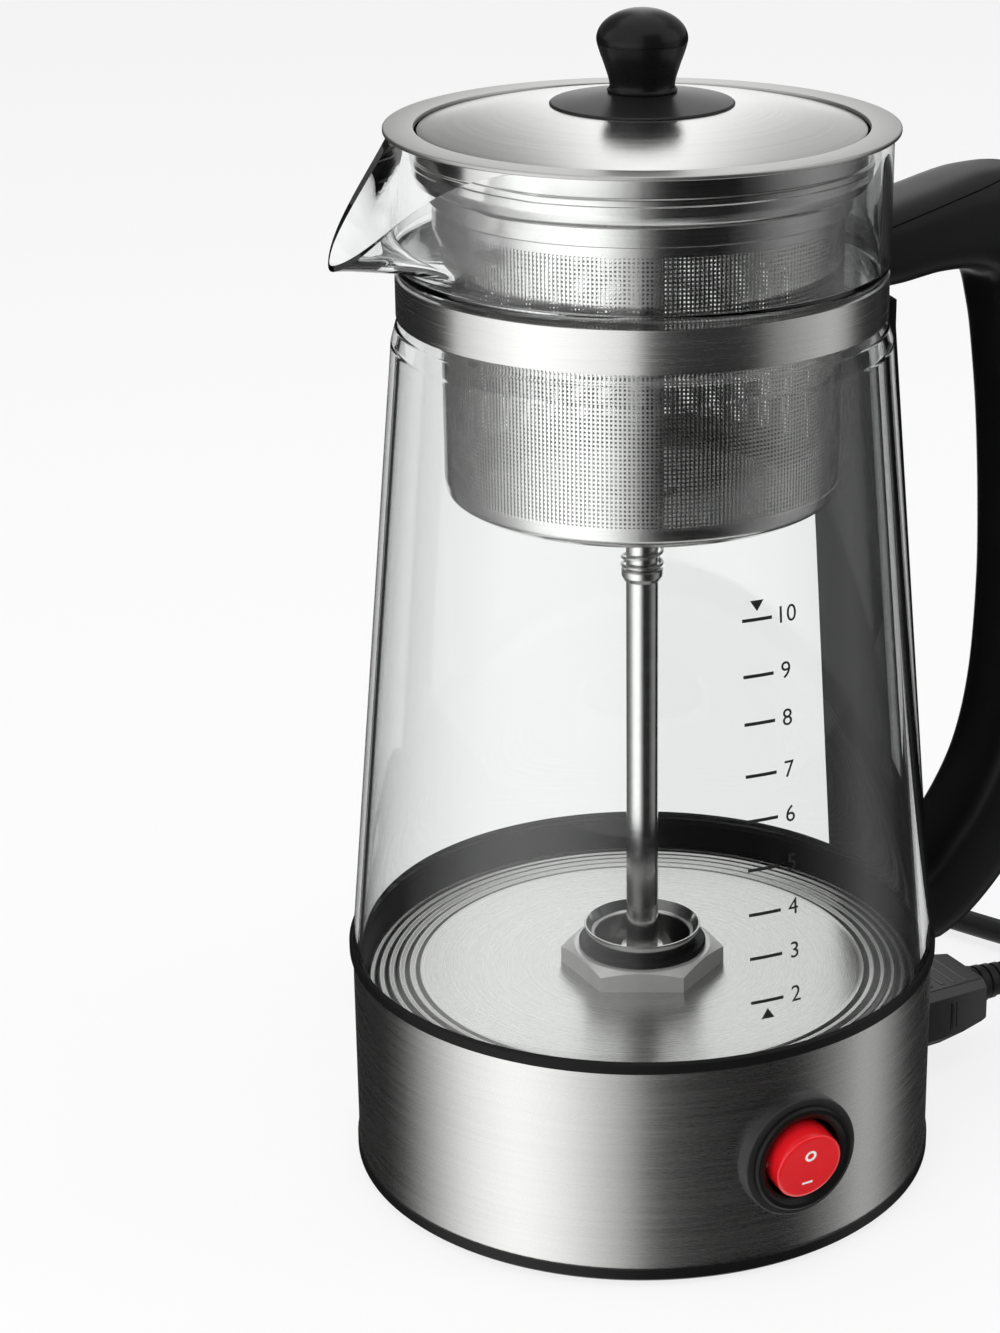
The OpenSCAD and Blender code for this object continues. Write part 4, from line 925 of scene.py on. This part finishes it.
    def execute(self, context):
        bm = spun(self.side(), self.COLUMNS, False)
        row = self.cut_window(bm)
        shares = self.shares_of(row)
        lip = self.spout_lip(shares)
        self.draw_spout(bm, row, self.spout_rows(row, shares, lip))
        bmesh.ops.recalc_face_normals(bm, faces=bm.faces)
        lowest = min(bm.faces, key=lambda face: face.calc_center_median().z)
        if lowest.normal.dot(lowest.calc_center_median()) < 0:
            bmesh.ops.reverse_faces(bm, faces=bm.faces)
        made = finished("jug_glass", bm, "glass", "base", ["glass_jug"], 60)
        self.give_wall(made, lip)
        bevel(made, self.EDGE, 4, 50)
        made.visible_shadow = False
        return {"FINISHED"}

    def give_wall(self, jug, lip):
        """Gives the jug its wall, which thins towards the spout's lip."""
        group = jug.vertex_groups.new(name="lip")
        inside = lip[4:-4]
        for v in jug.data.vertices:
            spot = v.co / MM
            if spot.x < -40 and spot.z > self.RIM_TIP.z - 8:
                near = min((spot - p).length for p in inside)
                group.add([v.index], max(0.0, 1 - near / self.LIP_REACH), "REPLACE")
        wall = jug.modifiers.new("wall", "SOLIDIFY")
        wall.thickness = GLASS_WALL * MM
        wall.vertex_group = group.name
        wall.invert_vertex_group = True
        wall.thickness_vertex_group = self.LIP_WALL / GLASS_WALL
        wall.offset = -1
        wall.use_even_offset = True

    def in_order(self, edges):
        """Vertices along a chain of edges, from the -Y side to the +Y side of the spout."""
        links = {}
        for edge in edges:
            a, b = edge.verts
            links.setdefault(a, []).append(b)
            links.setdefault(b, []).append(a)
        ends = sorted((v for v in links if len(links[v]) == 1), key=lambda v: v.co.y)
        chain = [ends[0]]
        while chain[-1] is not ends[-1]:
            chain.append(next(v for v in links[chain[-1]] if len(chain) < 2 or v is not chain[-2]))
        return chain

    def shares_of(self, row):
        """Shares from -1 to 1 of the way round the spout's root for the vertices of the window."""
        bottom = [k for k, v in enumerate(row) if v.co.z < (self.SPOUT_FOOT + 0.1) * MM]
        first, last, corner = bottom[0], bottom[-1], self.CORNER
        shares = []
        for k in range(len(row)):
            if k < first:
                shares.append(-1 + (1 - corner) * k / first)
            elif k > last:
                shares.append(corner + (1 - corner) * (k - last) / (len(row) - 1 - last))
            else:
                shares.append(-corner + 2 * corner * (k - first) / (last - first))
        return shares

    def mirrored(self, place, side):
        """Place on the side of the spout that a sign says."""
        return Vector((place.x, math.copysign(place.y, side), place.z))

    def on_neck(self, start, foot, side, share):
        """Place on the neck between the window and the spout's root."""
        a = math.atan2(start.y, -start.x)
        b = math.copysign(foot.x / NECK_R, side)
        angle = a + (b - a) * share
        z = start.z + (foot.y - start.z) * share
        return Vector((-NECK_R * math.cos(angle), NECK_R * math.sin(angle), z))


class PERCOLATOR_OT_handle(bpy.types.Operator):
    """Handle grip and its top cover"""

    bl_idname = "percolator.handle"
    bl_label = "Handle"

    SIDES = 56
    STEPS = 8
    WIDTH = 24.0
    SQUARE = 3.6
    # A point on the parting line of the top cover, its slope and half its gap
    PART = Vector((59.6, 0, 222.8))
    PART_ANGLE = math.radians(13.5)
    GAP = 0.12
    # Where the plain rings begin and end, and the radii of the band and shell that the ends follow
    ROOT_X, FOOT_X = 56.4, 74.4
    ROOT_R, FOOT_R = 55.6, 73.45

    def ring(self, inner, outer, end):
        """Squared ring between two points of the side view. An end follows a round wall."""
        mid, half = (inner + outer) / 2, (outer - inner) / 2
        points = []
        for j in range(self.SIDES):
            q = 2 * math.pi * j / self.SIDES
            spot = mid + half * squared(math.sin(q), self.SQUARE)
            side = squared(math.cos(q), self.SQUARE) * self.WIDTH / 2
            x = math.sqrt(end ** 2 - side ** 2) if end else spot.x
            points.append(Vector((x, side, spot.y)) * MM)
        return points

    def rings(self):
        """Rings of the whole handle from the jug to the base."""
        inner = smoothed([(*p[0], 0) for p in HANDLE_PATH], self.STEPS)
        outer = smoothed([(*p[1], 0) for p in HANDLE_PATH], self.STEPS)
        pairs = [(Vector(a[:2]), Vector(b[:2])) for a, b in zip(inner, outer)]
        reach = [min(a.x, b.x) for a, b in pairs]
        first = next(k for k, x in enumerate(reach) if x > self.ROOT_X)
        last = max(k for k, x in enumerate(reach) if x > self.FOOT_X)
        body = [self.ring(*pair, 0) for pair in pairs[first:last + 1]]
        root, foot = self.ring(*pairs[first], self.ROOT_R), self.ring(*pairs[last + 1], self.FOOT_R)
        return [root] + body + [foot]

    def execute(self, context):
        normal = Vector((-math.sin(self.PART_ANGLE), 0, math.cos(self.PART_ANGLE)))
        for name, node, keep_low in (("handle_grip_skin", "handle_grip", True),
                                     ("handle_cover_skin", "handle_cover", False)):
            bm = loft(self.rings())
            shift = -self.GAP if keep_low else self.GAP
            cut = bmesh.ops.bisect_plane(
                bm, geom=bm.verts[:] + bm.edges[:] + bm.faces[:], dist=1e-7,
                plane_co=(self.PART + normal * shift) * MM, plane_no=normal,
                clear_outer=keep_low, clear_inner=not keep_low)["geom_cut"]
            rim = [e for e in cut if isinstance(e, bmesh.types.BMEdge)]
            bmesh.ops.contextual_create(bm, geom=rim)
            bmesh.ops.recalc_face_normals(bm, faces=bm.faces)
            made = finished(name, bm, "handle", "base", [node], 40)
            bevel(made, 0.45, 3, 40)
        return {"FINISHED"}


class PERCOLATOR_OT_rings(bpy.types.Operator):
    """Round parts that are spun from an outline"""

    bl_idname = "percolator.rings"
    bl_label = "Turned parts"

    LID_R, LID_RISE, LID_STEPS = 49.4, 6.0, 24
    CAP_R, CAP_Z, CAP_RISE, CAP_STEPS = 10, 269.0, 6.6, 30

    def dome(self, r0, r1, drop):
        """Points of the lid's skin from one radius to another, a drop below the top."""
        ball = (self.LID_R ** 2 + self.LID_RISE ** 2) / (2 * self.LID_RISE)
        out = []
        for k in range(self.LID_STEPS + 1):
            r = r0 + (r1 - r0) * k / self.LID_STEPS
            out.append((r, Z_LID_TOP - drop - (ball - math.sqrt(ball * ball - r * r))))
        return out

    def ridges(self):
        """Outline of the hot plate with its pressed ridges."""
        bore, rim, floor, under = 12.7, 68.4, Z_PLATE, Z_PLATE - 1
        outline = [(bore, under), (rim, under), (rim, floor), (66.4, floor)]
        crest = [
            (65.6, 0.5), (64.5, 0.05), (63.3, 0.55), (62.2, 0.05), (61.0, 0.6), (59.9, 0.05),
            (58.6, 0.6), (57.4, 0.05), (56.1, 0.5), (54.8, 0.05), (53.6, 0.3),
        ]
        outline += [(r, floor + h, 0.8) for r, h in crest]
        return outline + [(52.4, floor), (bore, floor)]

    def knob_outline(self):
        """Outline of the knob from its hollow foot over the seam to the crown."""
        bore, bore_top = 2.05, Z_KNOB + 11
        inner = [(0, bore_top), (bore, bore_top), (bore, Z_KNOB), (7.6, Z_KNOB, 0.15)]
        flank = smoothed([
            (7.75, 258.1), (7.2, 258.8), (7.35, 260.4), (8.3, 263.4), (9.2, 265.9), (9.86, 268.0),
        ], 6)
        seam = [(9.74, 268.12), (9.74, 268.26), (9.94, 268.4)]
        turns = [math.pi / 2 * k / self.CAP_STEPS for k in range(self.CAP_STEPS)]
        cap = [(self.CAP_R * math.cos(q), self.CAP_Z + self.CAP_RISE * math.sin(q)) for q in turns]
        crown = [(0, self.CAP_Z + self.CAP_RISE)]
        return inner + [tuple(p) for p in flank] + seam + cap + crown

    def execute(self, context):
        # Name, node that it stands for, finish, body, slot and outline (r, z, corner radius)
        parts = [
            ("seal", "seal_ring", "rubber", "base", "black_rubber", [
                (66.6, Z_PLATE), (68.4, Z_PLATE), (68.4, 53.9), (70.4, 53.9, 0.3),
                (70.4, 56.2, 0.5), (69.62, 56.9, 0.1), (69.62, Z_GLASS - 0.02),
                (67.5, Z_GLASS - 0.02, 0.3), (67.2, 54.8, 0.3), (66.6, 54.4, 0.4)]),
            ("hot_plate", "heating_plate", "plate", "base", "turned_plate", self.ridges()),
            ("well", "well_cup", "bright", "base", "satin_steel", [
                (0, 36.4), (12.5, 36.4, 0.6), (12.5, 53.95), (12.8, 53.95, 0.2), (13.95, 57.4),
                (14.0, 57.8, 0.2), (13.55, 57.8, 0.2), (12.3, 55.4, 0.5), (11.4, 55.2, 0.4),
                (11.4, 37.5, 0.6), (0, 37.5)]),
            ("well_washer", "well_gasket", "rubber", "base", "black_rubber", [
                (12.55, 52.5), (15.3, 52.5, 0.5), (15.3, 53.5, 0.3), (14.9, 53.9, 0.3),
                (12.55, 53.9, 0.2)]),
            # The flange's darker steel is painted shade
            ("basket_flange", None, "flange", "basket", "satin_steel", [
                (50.05, 250.6, 0.3), (56.8, 250.6, 0.35), (56.8, 249.65, 0.3), (50.05, 249.65)]),
            ("basket_rim", "basket_collar", "satin", "basket", "satin_steel", [
                (50.8, 249.66), (50.8, 245.0, 0.3), (51.1, 244.6, 0.3), (51.1, 243.4, 0.3),
                (50.8, 243.0, 0.3), (50.8, 241.2, 1.6), (50.0, 239.2, 1.0), (48.4, 238.0, 0.6),
                (46.6, 238.0, 0.5), (46.6, 233.6, 0.5), (44.95, 233.6, 0.4), (44.95, Z_MESH_TOP),
                (44.15, Z_MESH_TOP), (44.15, Z_STEP), (45.8, Z_STEP, 0.2), (45.8, Z_LEDGE, 0.3),
                (48.0, Z_LEDGE, 0.6), (50.0, 241.2, 1.2), (50.0, 249.66)]),
            ("basket_floor", "basket_cup", "satin", "basket", "satin_steel", [
                (5.05, Z_BASKET), (42.0, Z_BASKET, 1.6), (44.5, 168.6, 2.2), (44.9, Z_MESH),
                (44.1, Z_MESH), (43.8, 169.2, 1.8), (41.7, 167.7, 1.4), (5.05, 167.7)]),
            ("lid_skin", "lid_dome", "lid", "lid", "satin_steel",
             self.dome(2.2, 48.4, 0)
             + [(self.LID_R, 249.95, 0.6), (49.35, 249.2, 0.3), (47.4, 248.9, 0.4),
                (47.4, 238.85, 0.2), (46.6, 238.85, 0.2), (46.6, 248.9, 0.4)]
             + self.dome(46.0, 2.2, 0.8)),
            ("knob_plate", "knob_disc", "disc", "lid", "black_plastic",
             [(2.2, Z_KNOB), (7.6, Z_KNOB, 0.4), (20.0, 255.5, 0.2), (20.35, 255.2, 0.1)]
             + self.dome(20.3, 2.2, -0.02)),
            ("knob_body", "knob", "knob", "lid", "black_plastic", self.knob_outline()),
            ("stem_pipe", "stem_tube", "bright", "stem", "satin_steel", [
                (3.0, 47.8), (3.8, 47.8), (3.8, 240.4, 0.2), (3.0, 240.4, 0.2)]),
            ("stem_bead", "stem_stop", "bright", "stem", "satin_steel", [
                (3.82, Z_STOP), (4.3, Z_STOP, 0.3), (4.85, Z_STOP + 1.2, 0.8),
                (4.9, Z_SPRING - 0.3, 0.3), (4.5, Z_SPRING, 0.2), (3.82, Z_SPRING)]),
        ]
        for name, node, finish, body, slot, outline in parts:
            bored = outline[0][0] > 0
            nodes = [node] if node else []
            finished(name, turned(outline, FINE_STEPS, bored), finish, body, nodes)
        return {"FINISHED"}


class PERCOLATOR_OT_mesh(bpy.types.Operator):
    """Woven wire wall of the filter basket"""

    bl_idname = "percolator.mesh"
    bl_label = "Wire mesh"

    OUTER = 44.9
    THICK = 0.22
    # How far the upright wires reach past the wall, how deep the rings lie behind them in wire
    # thicknesses, and the space to the first ring
    LAP = 0.6
    BEHIND = 1.3
    EDGE = 0.5
    RING_STEPS = 120

    def uprights(self, bm):
        """Flat upright wires all round."""
        thick, count = self.THICK * MM, look().upright_wires
        low, high = (Z_MESH - self.LAP) * MM, (Z_MESH_TOP + self.LAP) * MM
        wire = bmesh.ops.create_cube(bm, size=1)["verts"]
        bmesh.ops.scale(bm, verts=wire, vec=(thick, look().wire, high - low))
        bmesh.ops.translate(bm, verts=wire, vec=(self.OUTER * MM - thick / 2, 0, (low + high) / 2))
        bmesh.ops.spin(bm, geom=bm.verts[:] + bm.edges[:] + bm.faces[:], axis=(0, 0, 1),
                       cent=(0, 0, 0), angle=2 * math.pi * (count - 1) / count, steps=count - 1,
                       use_duplicate=True)
        bmesh.ops.recalc_face_normals(bm, faces=bm.faces)

    def hoop(self):
        """Lowest ring of wire."""
        thick = self.THICK * MM
        ring = bmesh.new()
        bmesh.ops.create_grid(ring, x_segments=1, y_segments=1, size=0.5)
        bmesh.ops.delete(ring, geom=ring.faces[:], context="FACES_ONLY")
        bmesh.ops.scale(ring, verts=ring.verts, vec=(thick, look().wire, 1))
        bmesh.ops.rotate(ring, verts=ring.verts, cent=(0, 0, 0),
                         matrix=Matrix.Rotation(math.pi / 2, 3, "X"))
        bmesh.ops.translate(ring, verts=ring.verts, vec=(
            self.OUTER * MM - thick * self.BEHIND, 0, (Z_MESH + self.EDGE) * MM))
        bmesh.ops.spin(ring, geom=ring.verts[:] + ring.edges[:], axis=(0, 0, 1), cent=(0, 0, 0),
                       angle=2 * math.pi, steps=self.RING_STEPS, use_merge=True)
        bmesh.ops.remove_doubles(ring, verts=ring.verts, dist=1e-7)
        bmesh.ops.recalc_face_normals(ring, faces=ring.faces)
        return ring

    def execute(self, context):
        bm = bmesh.new()
        self.uprights(bm)
        ring, count = self.hoop(), look().ring_wires
        pitch = (Z_MESH_TOP - Z_MESH - 2 * self.EDGE) * MM / (count - 1)
        hoop = bpy.data.meshes.new("hoop")
        for _ in range(count):
            ring.to_mesh(hoop)
            bm.from_mesh(hoop)
            bmesh.ops.translate(ring, verts=ring.verts, vec=(0, 0, pitch))
        ring.free()
        bpy.data.meshes.remove(hoop)
        finished("basket_weave", bm, "wire", "basket", ["basket_mesh"], 30)
        return {"FINISHED"}


class PERCOLATOR_OT_spring(bpy.types.Operator):
    """Spring between the stem's bead and the basket"""

    bl_idname = "percolator.spring"
    bl_label = "Stem spring"

    WIRE = 0.8
    WIRE_SIDES = 10
    MID_R = 4.65
    A_TURN = 36
    # Climb of each closed end turn, and the number of open turns
    CLOSED = 0.86
    OPEN_TURNS = 5

    def execute(self, context):
        low, high = Z_SPRING + self.WIRE / 2, Z_BASKET - 0.05 - self.WIRE / 2
        rise = (high - low - 2 * self.CLOSED) / self.OPEN_TURNS
        bm = bmesh.new()
        bmesh.ops.create_circle(bm, segments=self.WIRE_SIDES, radius=self.WIRE / 2 * MM)
        bmesh.ops.rotate(bm, verts=bm.verts, cent=(0, 0, 0),
                         matrix=Matrix.Rotation(math.pi / 2, 3, "X"))
        bmesh.ops.translate(bm, verts=bm.verts, vec=(self.MID_R * MM, 0, low * MM))
        last = bm.verts[:] + bm.edges[:]
        first = bm.edges[:]
        for turns, climb in ((1, self.CLOSED), (self.OPEN_TURNS, rise), (1, self.CLOSED)):
            last = bmesh.ops.spin(
                bm, geom=last, axis=(0, 0, 1), cent=(0, 0, 0), angle=2 * math.pi * turns,
                steps=turns * self.A_TURN, dvec=(0, 0, climb * MM / self.A_TURN))["geom_last"]
        for rim in (first, [e for e in last if isinstance(e, bmesh.types.BMEdge)]):
            bmesh.ops.contextual_create(bm, geom=rim)
        bmesh.ops.recalc_face_normals(bm, faces=bm.faces)
        made = finished("stem_coil", bm, "bright", "basket", ["stem_spring"])
        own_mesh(made)
        return {"FINISHED"}


class PERCOLATOR_OT_switch(bpy.types.Operator):
    """Round rocker switch with its collar"""

    bl_idname = "percolator.switch"
    bl_label = "Switch"

    TILT = math.radians(10)

    def tilted(self, bm):
        """Moves a rocker piece from the rocker's own axes to its place in the base."""
        turn = Matrix.Rotation(self.TILT, 3, "X")
        bmesh.ops.rotate(bm, verts=bm.verts, cent=(0, 0, 0), matrix=turn)
        bmesh.ops.translate(bm, verts=bm.verts, vec=Vector((0, Y_PIVOT, Z_SWITCH)) * MM)
        return bm

    def execute(self, context):
        outwards = (0, -1, 0)
        ring = turned([(11.2, -4.2), (14.5, -4.2), (14.5, 0, 0.5), (11.2, 0)], SWITCH_STEPS)
        lie_along(ring, outwards, (0, Y_COLLAR, Z_SWITCH))
        for v in ring.verts:
            wall = -math.sqrt((SHELL_R * MM) ** 2 - v.co.x ** 2) + 0.0001
            v.co.y = min(v.co.y, wall)
        finished("switch_bezel_ring", ring, "collar", "base", ["switch_collar"])
        bezel = turned([
            (0, -21.8), (11.0, -21.8, 0.5), (11.0, 0), (12.75, 0, 0.2), (12.75, 1.0, 0.5),
            (12.2, 1.6, 0.4), (11.2, 1.5, 0.4), (9.7, 0.5, 0.3), (9.4, -8.0), (0, -8.0),
        ], SWITCH_STEPS, False)
        lie_along(bezel, outwards, (0, Y_COLLAR, Z_SWITCH))
        finished("switch_bezel", bezel, "switch", "base", ["switch_body"])
        button = turned([
            (0, -3.0), (8.3, -3.0, 0.6), (8.6, 0), (8.35, 5.0, 0.5), (7.6, 5.15, 1.0), (0, 4.9),
        ], SWITCH_STEPS, False)
        lie_along(button, outwards, (0, 0, 0))
        finished("rocker_button", self.tilted(button), "rocker", "switch_rocker",
                 ["rocker"])
        marks = turned([(0.85, 0), (1.45, 0), (1.45, 0.12), (0.85, 0.12)], SIGN_STEPS)
        lie_along(marks, outwards, (0, -4.95, 3.0))
        box(marks, (-1.35, -5.1, -4.75), (1.35, -4.95, -4.2))
        finished("rocker_marks", self.tilted(marks), "white", "switch_rocker")
        return {"FINISHED"}


class PERCOLATOR_OT_connector(bpy.types.Operator):
    """Mains connector and its strain relief"""

    bl_idname = "percolator.connector"
    bl_label = "Connector"

    # Width, height and place along X of the body's slabs
    SLABS = [(25, 15.6, 71.8), (24.6, 15.4, 82), (22.6, 14.2, 90), (20, 12.6, 97)]
    CHAMFER = 2.0
    # Half width, half height and cut corners of the nose in the inlet, and its ends
    NOSE_W, NOSE_H, NOSE_CUT = 11.8, 7.8, 5
    NOSE_X = (55.1, 72.0)
    TOP_RIBS, SIDE_RIBS, SLEEVE_RIBS = 5, 7, 5

    def slab(self, w, h, x):
        """Ring of the body with cut corners."""
        c = self.CHAMFER
        corners = [(c - w / 2, -h / 2), (w / 2 - c, -h / 2), (w / 2, c - h / 2), (w / 2, h / 2 - c),
                   (w / 2 - c, h / 2), (c - w / 2, h / 2), (-w / 2, h / 2 - c), (-w / 2, c - h / 2)]
        return [Vector((x, y, Z_INLET + z)) * MM for y, z in corners]

    def nose(self, x):
        """Ring of the nose with its two cut upper corners."""
        w, h, cut = self.NOSE_W, self.NOSE_H, self.NOSE_CUT
        corners = [(-w, -h), (w, -h), (w, h - cut), (w - cut, h), (cut - w, h), (-w, h - cut)]
        return [Vector((x, y, Z_INLET + z)) * MM for y, z in corners]

    def add_ribs(self, body):
        """Finger ribs on top of the body and on its two sides."""
        for k in range(self.TOP_RIBS):
            x = 76 + 3.6 * k
            low, high = Z_INLET + 7.0 - 0.2 * k, Z_INLET + 8.3 - 0.3 * k
            box(body, (x, -8.5, low), (x + 1.5, 8.5, high))
        for side in (-1, 1):
            for k in range(self.SIDE_RIBS):
                x = 84.2 + 1.5 * k
                y = side * (11.9 - 0.27 * (x - 84))
                box(body, (x, y - 0.5, Z_INLET - 4), (x + 0.8, y + 0.5, Z_INLET + 4))

    def sleeve_outline(self):
        """Outline of the ribbed strain relief, which tapers towards the lead."""
        r0, x0, pitch, groove = 5.2, 97.4, 2.9, 0.75
        outline = [(0, 90), (r0, 90), (r0, 97.2, 0.3)]
        for k in range(self.SLEEVE_RIBS):
            r, x = r0 - 0.3 * k, x0 + pitch * k
            outline += [(r, x, 0.25), (r, x + 1.75, 0.25),
                        (r - groove, x + 1.95, 0.2), (r - groove, x + 2.75, 0.2)]
        return outline + [(3.6, 112, 0.2), (0, 112)]

    def execute(self, context):
        body = loft([self.slab(*row) for row in self.SLABS])
        self.add_ribs(body)
        made = finished("connector_body", body, "connector", "cordset",
                        ["cord_connector"], 30)
        bevel(made, 0.35, 2, 30)
        nose = loft([self.nose(x) for x in self.NOSE_X])
        made = finished("connector_nose", nose, "connector", "cordset", [], 30)
        bevel(made, 0.4, 2, 30)
        sleeve = turned(self.sleeve_outline(), SLEEVE_STEPS, False)
        lie_along(sleeve, (1, 0, 0), (0, 0, Z_INLET))
        finished("relief_sleeve", sleeve, "cord", "cordset", ["strain_relief"])
        return {"FINISHED"}


class PERCOLATOR_OT_plug(bpy.types.Operator):
    """Moulded plug body at the far end of the lead"""

    bl_idname = "percolator.plug"
    bl_label = "Plug"

    SIDES = 32
    SLEEVE_RIBS = 3
    # Width, height, distance from the cord's end and squareness of the body's rings
    BODY = [
        (14, 13, 18, 2.4), (20, 17, 21.4, 3), (24.6, 22, 26, 3.6), (26.6, 24.2, 32, 4),
        (27, 24.8, 38, 4.4), (27, 24.8, 52.6, 4.4), (26.2, 24.0, 53.7, 4.4), (25.4, 23.2, 54, 4.4),
    ]

    def slice(self, w, h, along, square):
        """Ring of the plug's skin at a distance from its cord end."""
        points = []
        for j in range(self.SIDES):
            q = 2 * math.pi * j / self.SIDES
            x = squared(math.cos(q), square) * w / 2
            z = squared(math.sin(q), square) * h / 2
            points.append(Vector((x, -along, z)) * MM)
        return points

    def execute(self, context):
        sleeve = [(8.2, 0), (9.0, 4)]
        for k in range(self.SLEEVE_RIBS):
            w, along = 9.8 + 1.2 * k, 5.4 + 4 * k
            sleeve += [(w, along), (w, along + 1.8), (w - 1.2, along + 2.0), (w - 1.0, along + 3.4)]
        rings = [self.slice(w, w, along, 2) for w, along in sleeve]
        rings += [self.slice(*row) for row in self.BODY]
        body = loft(rings)
        turn = Matrix.Rotation(math.radians(PLUG_TURN), 3, "Z")
        bmesh.ops.rotate(body, verts=body.verts, cent=(0, 0, 0), matrix=turn)
        bmesh.ops.translate(body, verts=body.verts, vec=Vector(PLUG_AT) * MM)
        finished("plug_body", body, "cord", "cordset", ["plug"], 50)
        return {"FINISHED"}


class PERCOLATOR_OT_marks(bpy.types.Operator):
    """Level ticks and numbers printed on the glass"""

    bl_idname = "percolator.marks"
    bl_label = "Level marks"

    # Height above the glass and depth of the ink
    LIFT = 0.06
    INK = 0.04
    # Angles in degrees of a tick's ends, of the numbers up to 9 and of 10
    START = -99.5
    END = -92.8
    NUMBER = -91.2
    TEN = -92.0
    NUMBER_RISE = 0.3
    BAR = 0.75
    # Font size for a digit's height of 1
    FONT_SIZE = 1.38
    # Half width and height of the small triangles, and their distance from the mark
    WEDGE = (1.6, 2.4)
    WEDGE_GAP = 4.2

    def wrapped(self, verts, angle, height):
        """Wraps flat marks, drawn in metres right and up, on to the glass."""
        for v in verts:
            z = height + v.co.y / MM
            r = taper_r(z) + self.LIFT
            a = math.radians(angle) + v.co.x / MM / r
            v.co = Vector((r * math.cos(a), r * math.sin(a), z)) * MM

    def add_number(self, bm, text, angle, height):
        """Adds a number that starts at an angle."""
        curve = bpy.data.curves.new("digits", "FONT")
        curve.body = text
        curve.size = look().digit * self.FONT_SIZE
        curve.resolution_u = 4
        flat = bpy.data.objects.new("digits", curve)
        bpy.context.scene.collection.objects.link(flat)
        depsgraph = bpy.context.evaluated_depsgraph_get()
        mesh = bpy.data.meshes.new_from_object(flat.evaluated_get(depsgraph))
        before = len(bm.verts)
        bm.from_mesh(mesh)
        bm.verts.ensure_lookup_table()
        fresh = bm.verts[before:]
        for v in fresh:
            v.co.y -= look().digit / 2
        self.wrapped(fresh, angle, height)
        bpy.data.objects.remove(flat)
        bpy.data.curves.remove(curve)
        bpy.data.meshes.remove(mesh)

    def add_tick(self, bm, height):
        """Adds a level's tick."""
        width = math.radians(self.END - self.START) * taper_r(height) * MM
        made = bmesh.ops.create_grid(bm, x_segments=8, y_segments=1, size=0.5)["verts"]
        bmesh.ops.scale(bm, verts=made, vec=(width, self.BAR * MM, 1))
        bmesh.ops.translate(bm, verts=made, vec=(width / 2, 0, 0))
        self.wrapped(made, self.START, height)

    def add_wedge(self, bm, height, way):
        """Small triangle above the highest mark or below the lowest."""
        half, tall = self.WEDGE
        points = [(-half, 0), (half, 0), (0, -tall * way)]
        verts = [bm.verts.new((x * MM, y * MM, 0)) for x, y in points]
        bm.faces.new(verts)
        self.wrapped(verts, (self.START + self.END) / 2, height)

    def execute(self, context):
        bm = bmesh.new()
        for number, height in LEVELS.items():
            self.add_tick(bm, height)
            angle = self.NUMBER if number < 10 else self.TEN
            self.add_number(bm, str(number), angle, height + self.NUMBER_RISE)
        self.add_wedge(bm, LEVELS[10] + self.WEDGE_GAP, 1)
        self.add_wedge(bm, LEVELS[2] - self.WEDGE_GAP, -1)
        bmesh.ops.recalc_face_normals(bm, faces=bm.faces)
        for face in bm.faces:
            face.normal_update()
            if face.normal.dot(face.calc_center_median() * Vector((1, 1, 0))) < 0:
                face.normal_flip()
        made = finished("level_marks", bm, "ink", "base")
        skin = made.modifiers.new("ink_layer", "SOLIDIFY")
        skin.thickness = self.INK * MM
        skin.offset = -1
        return {"FINISHED"}


class PERCOLATOR_PT_panel(bpy.types.Panel):
    """Lists the pieces of the percolator"""

    bl_idname = "PERCOLATOR_PT_panel"
    bl_label = "Percolator"
    bl_space_type = "VIEW_3D"
    bl_region_type = "UI"
    bl_category = "Percolator"

    def draw(self, context):
        for group in (look(), studio()):
            for name in group.bl_rna.properties.keys():
                if name not in ("rna_type", "name"):
                    self.layout.prop(group, name)
        for operator in OPERATORS:
            self.layout.operator(operator.bl_idname)


# In the order in which they run
OPERATORS = (
    PERCOLATOR_OT_stage, PERCOLATOR_OT_plug, PERCOLATOR_OT_cord, PERCOLATOR_OT_solids,
    PERCOLATOR_OT_jug, PERCOLATOR_OT_handle, PERCOLATOR_OT_rings, PERCOLATOR_OT_mesh,
    PERCOLATOR_OT_spring, PERCOLATOR_OT_switch, PERCOLATOR_OT_connector, PERCOLATOR_OT_marks,
)
CLASSES = (PercolatorLook, StudioLook) + OPERATORS + (PERCOLATOR_PT_panel,)


def register():
    for cls in CLASSES:
        bpy.utils.register_class(cls)
    bpy.types.Scene.percolator_look = bpy.props.PointerProperty(type=PercolatorLook)
    bpy.types.Scene.percolator_studio = bpy.props.PointerProperty(type=StudioLook)


def unregister():
    del bpy.types.Scene.percolator_studio
    del bpy.types.Scene.percolator_look
    for cls in reversed(CLASSES):
        bpy.utils.unregister_class(cls)


def main():
    register()
    make_finishes()
    for operator in OPERATORS:
        group, name = operator.bl_idname.split(".")
        getattr(getattr(bpy.ops, group), name)()


if __name__ == "__main__":
    main()
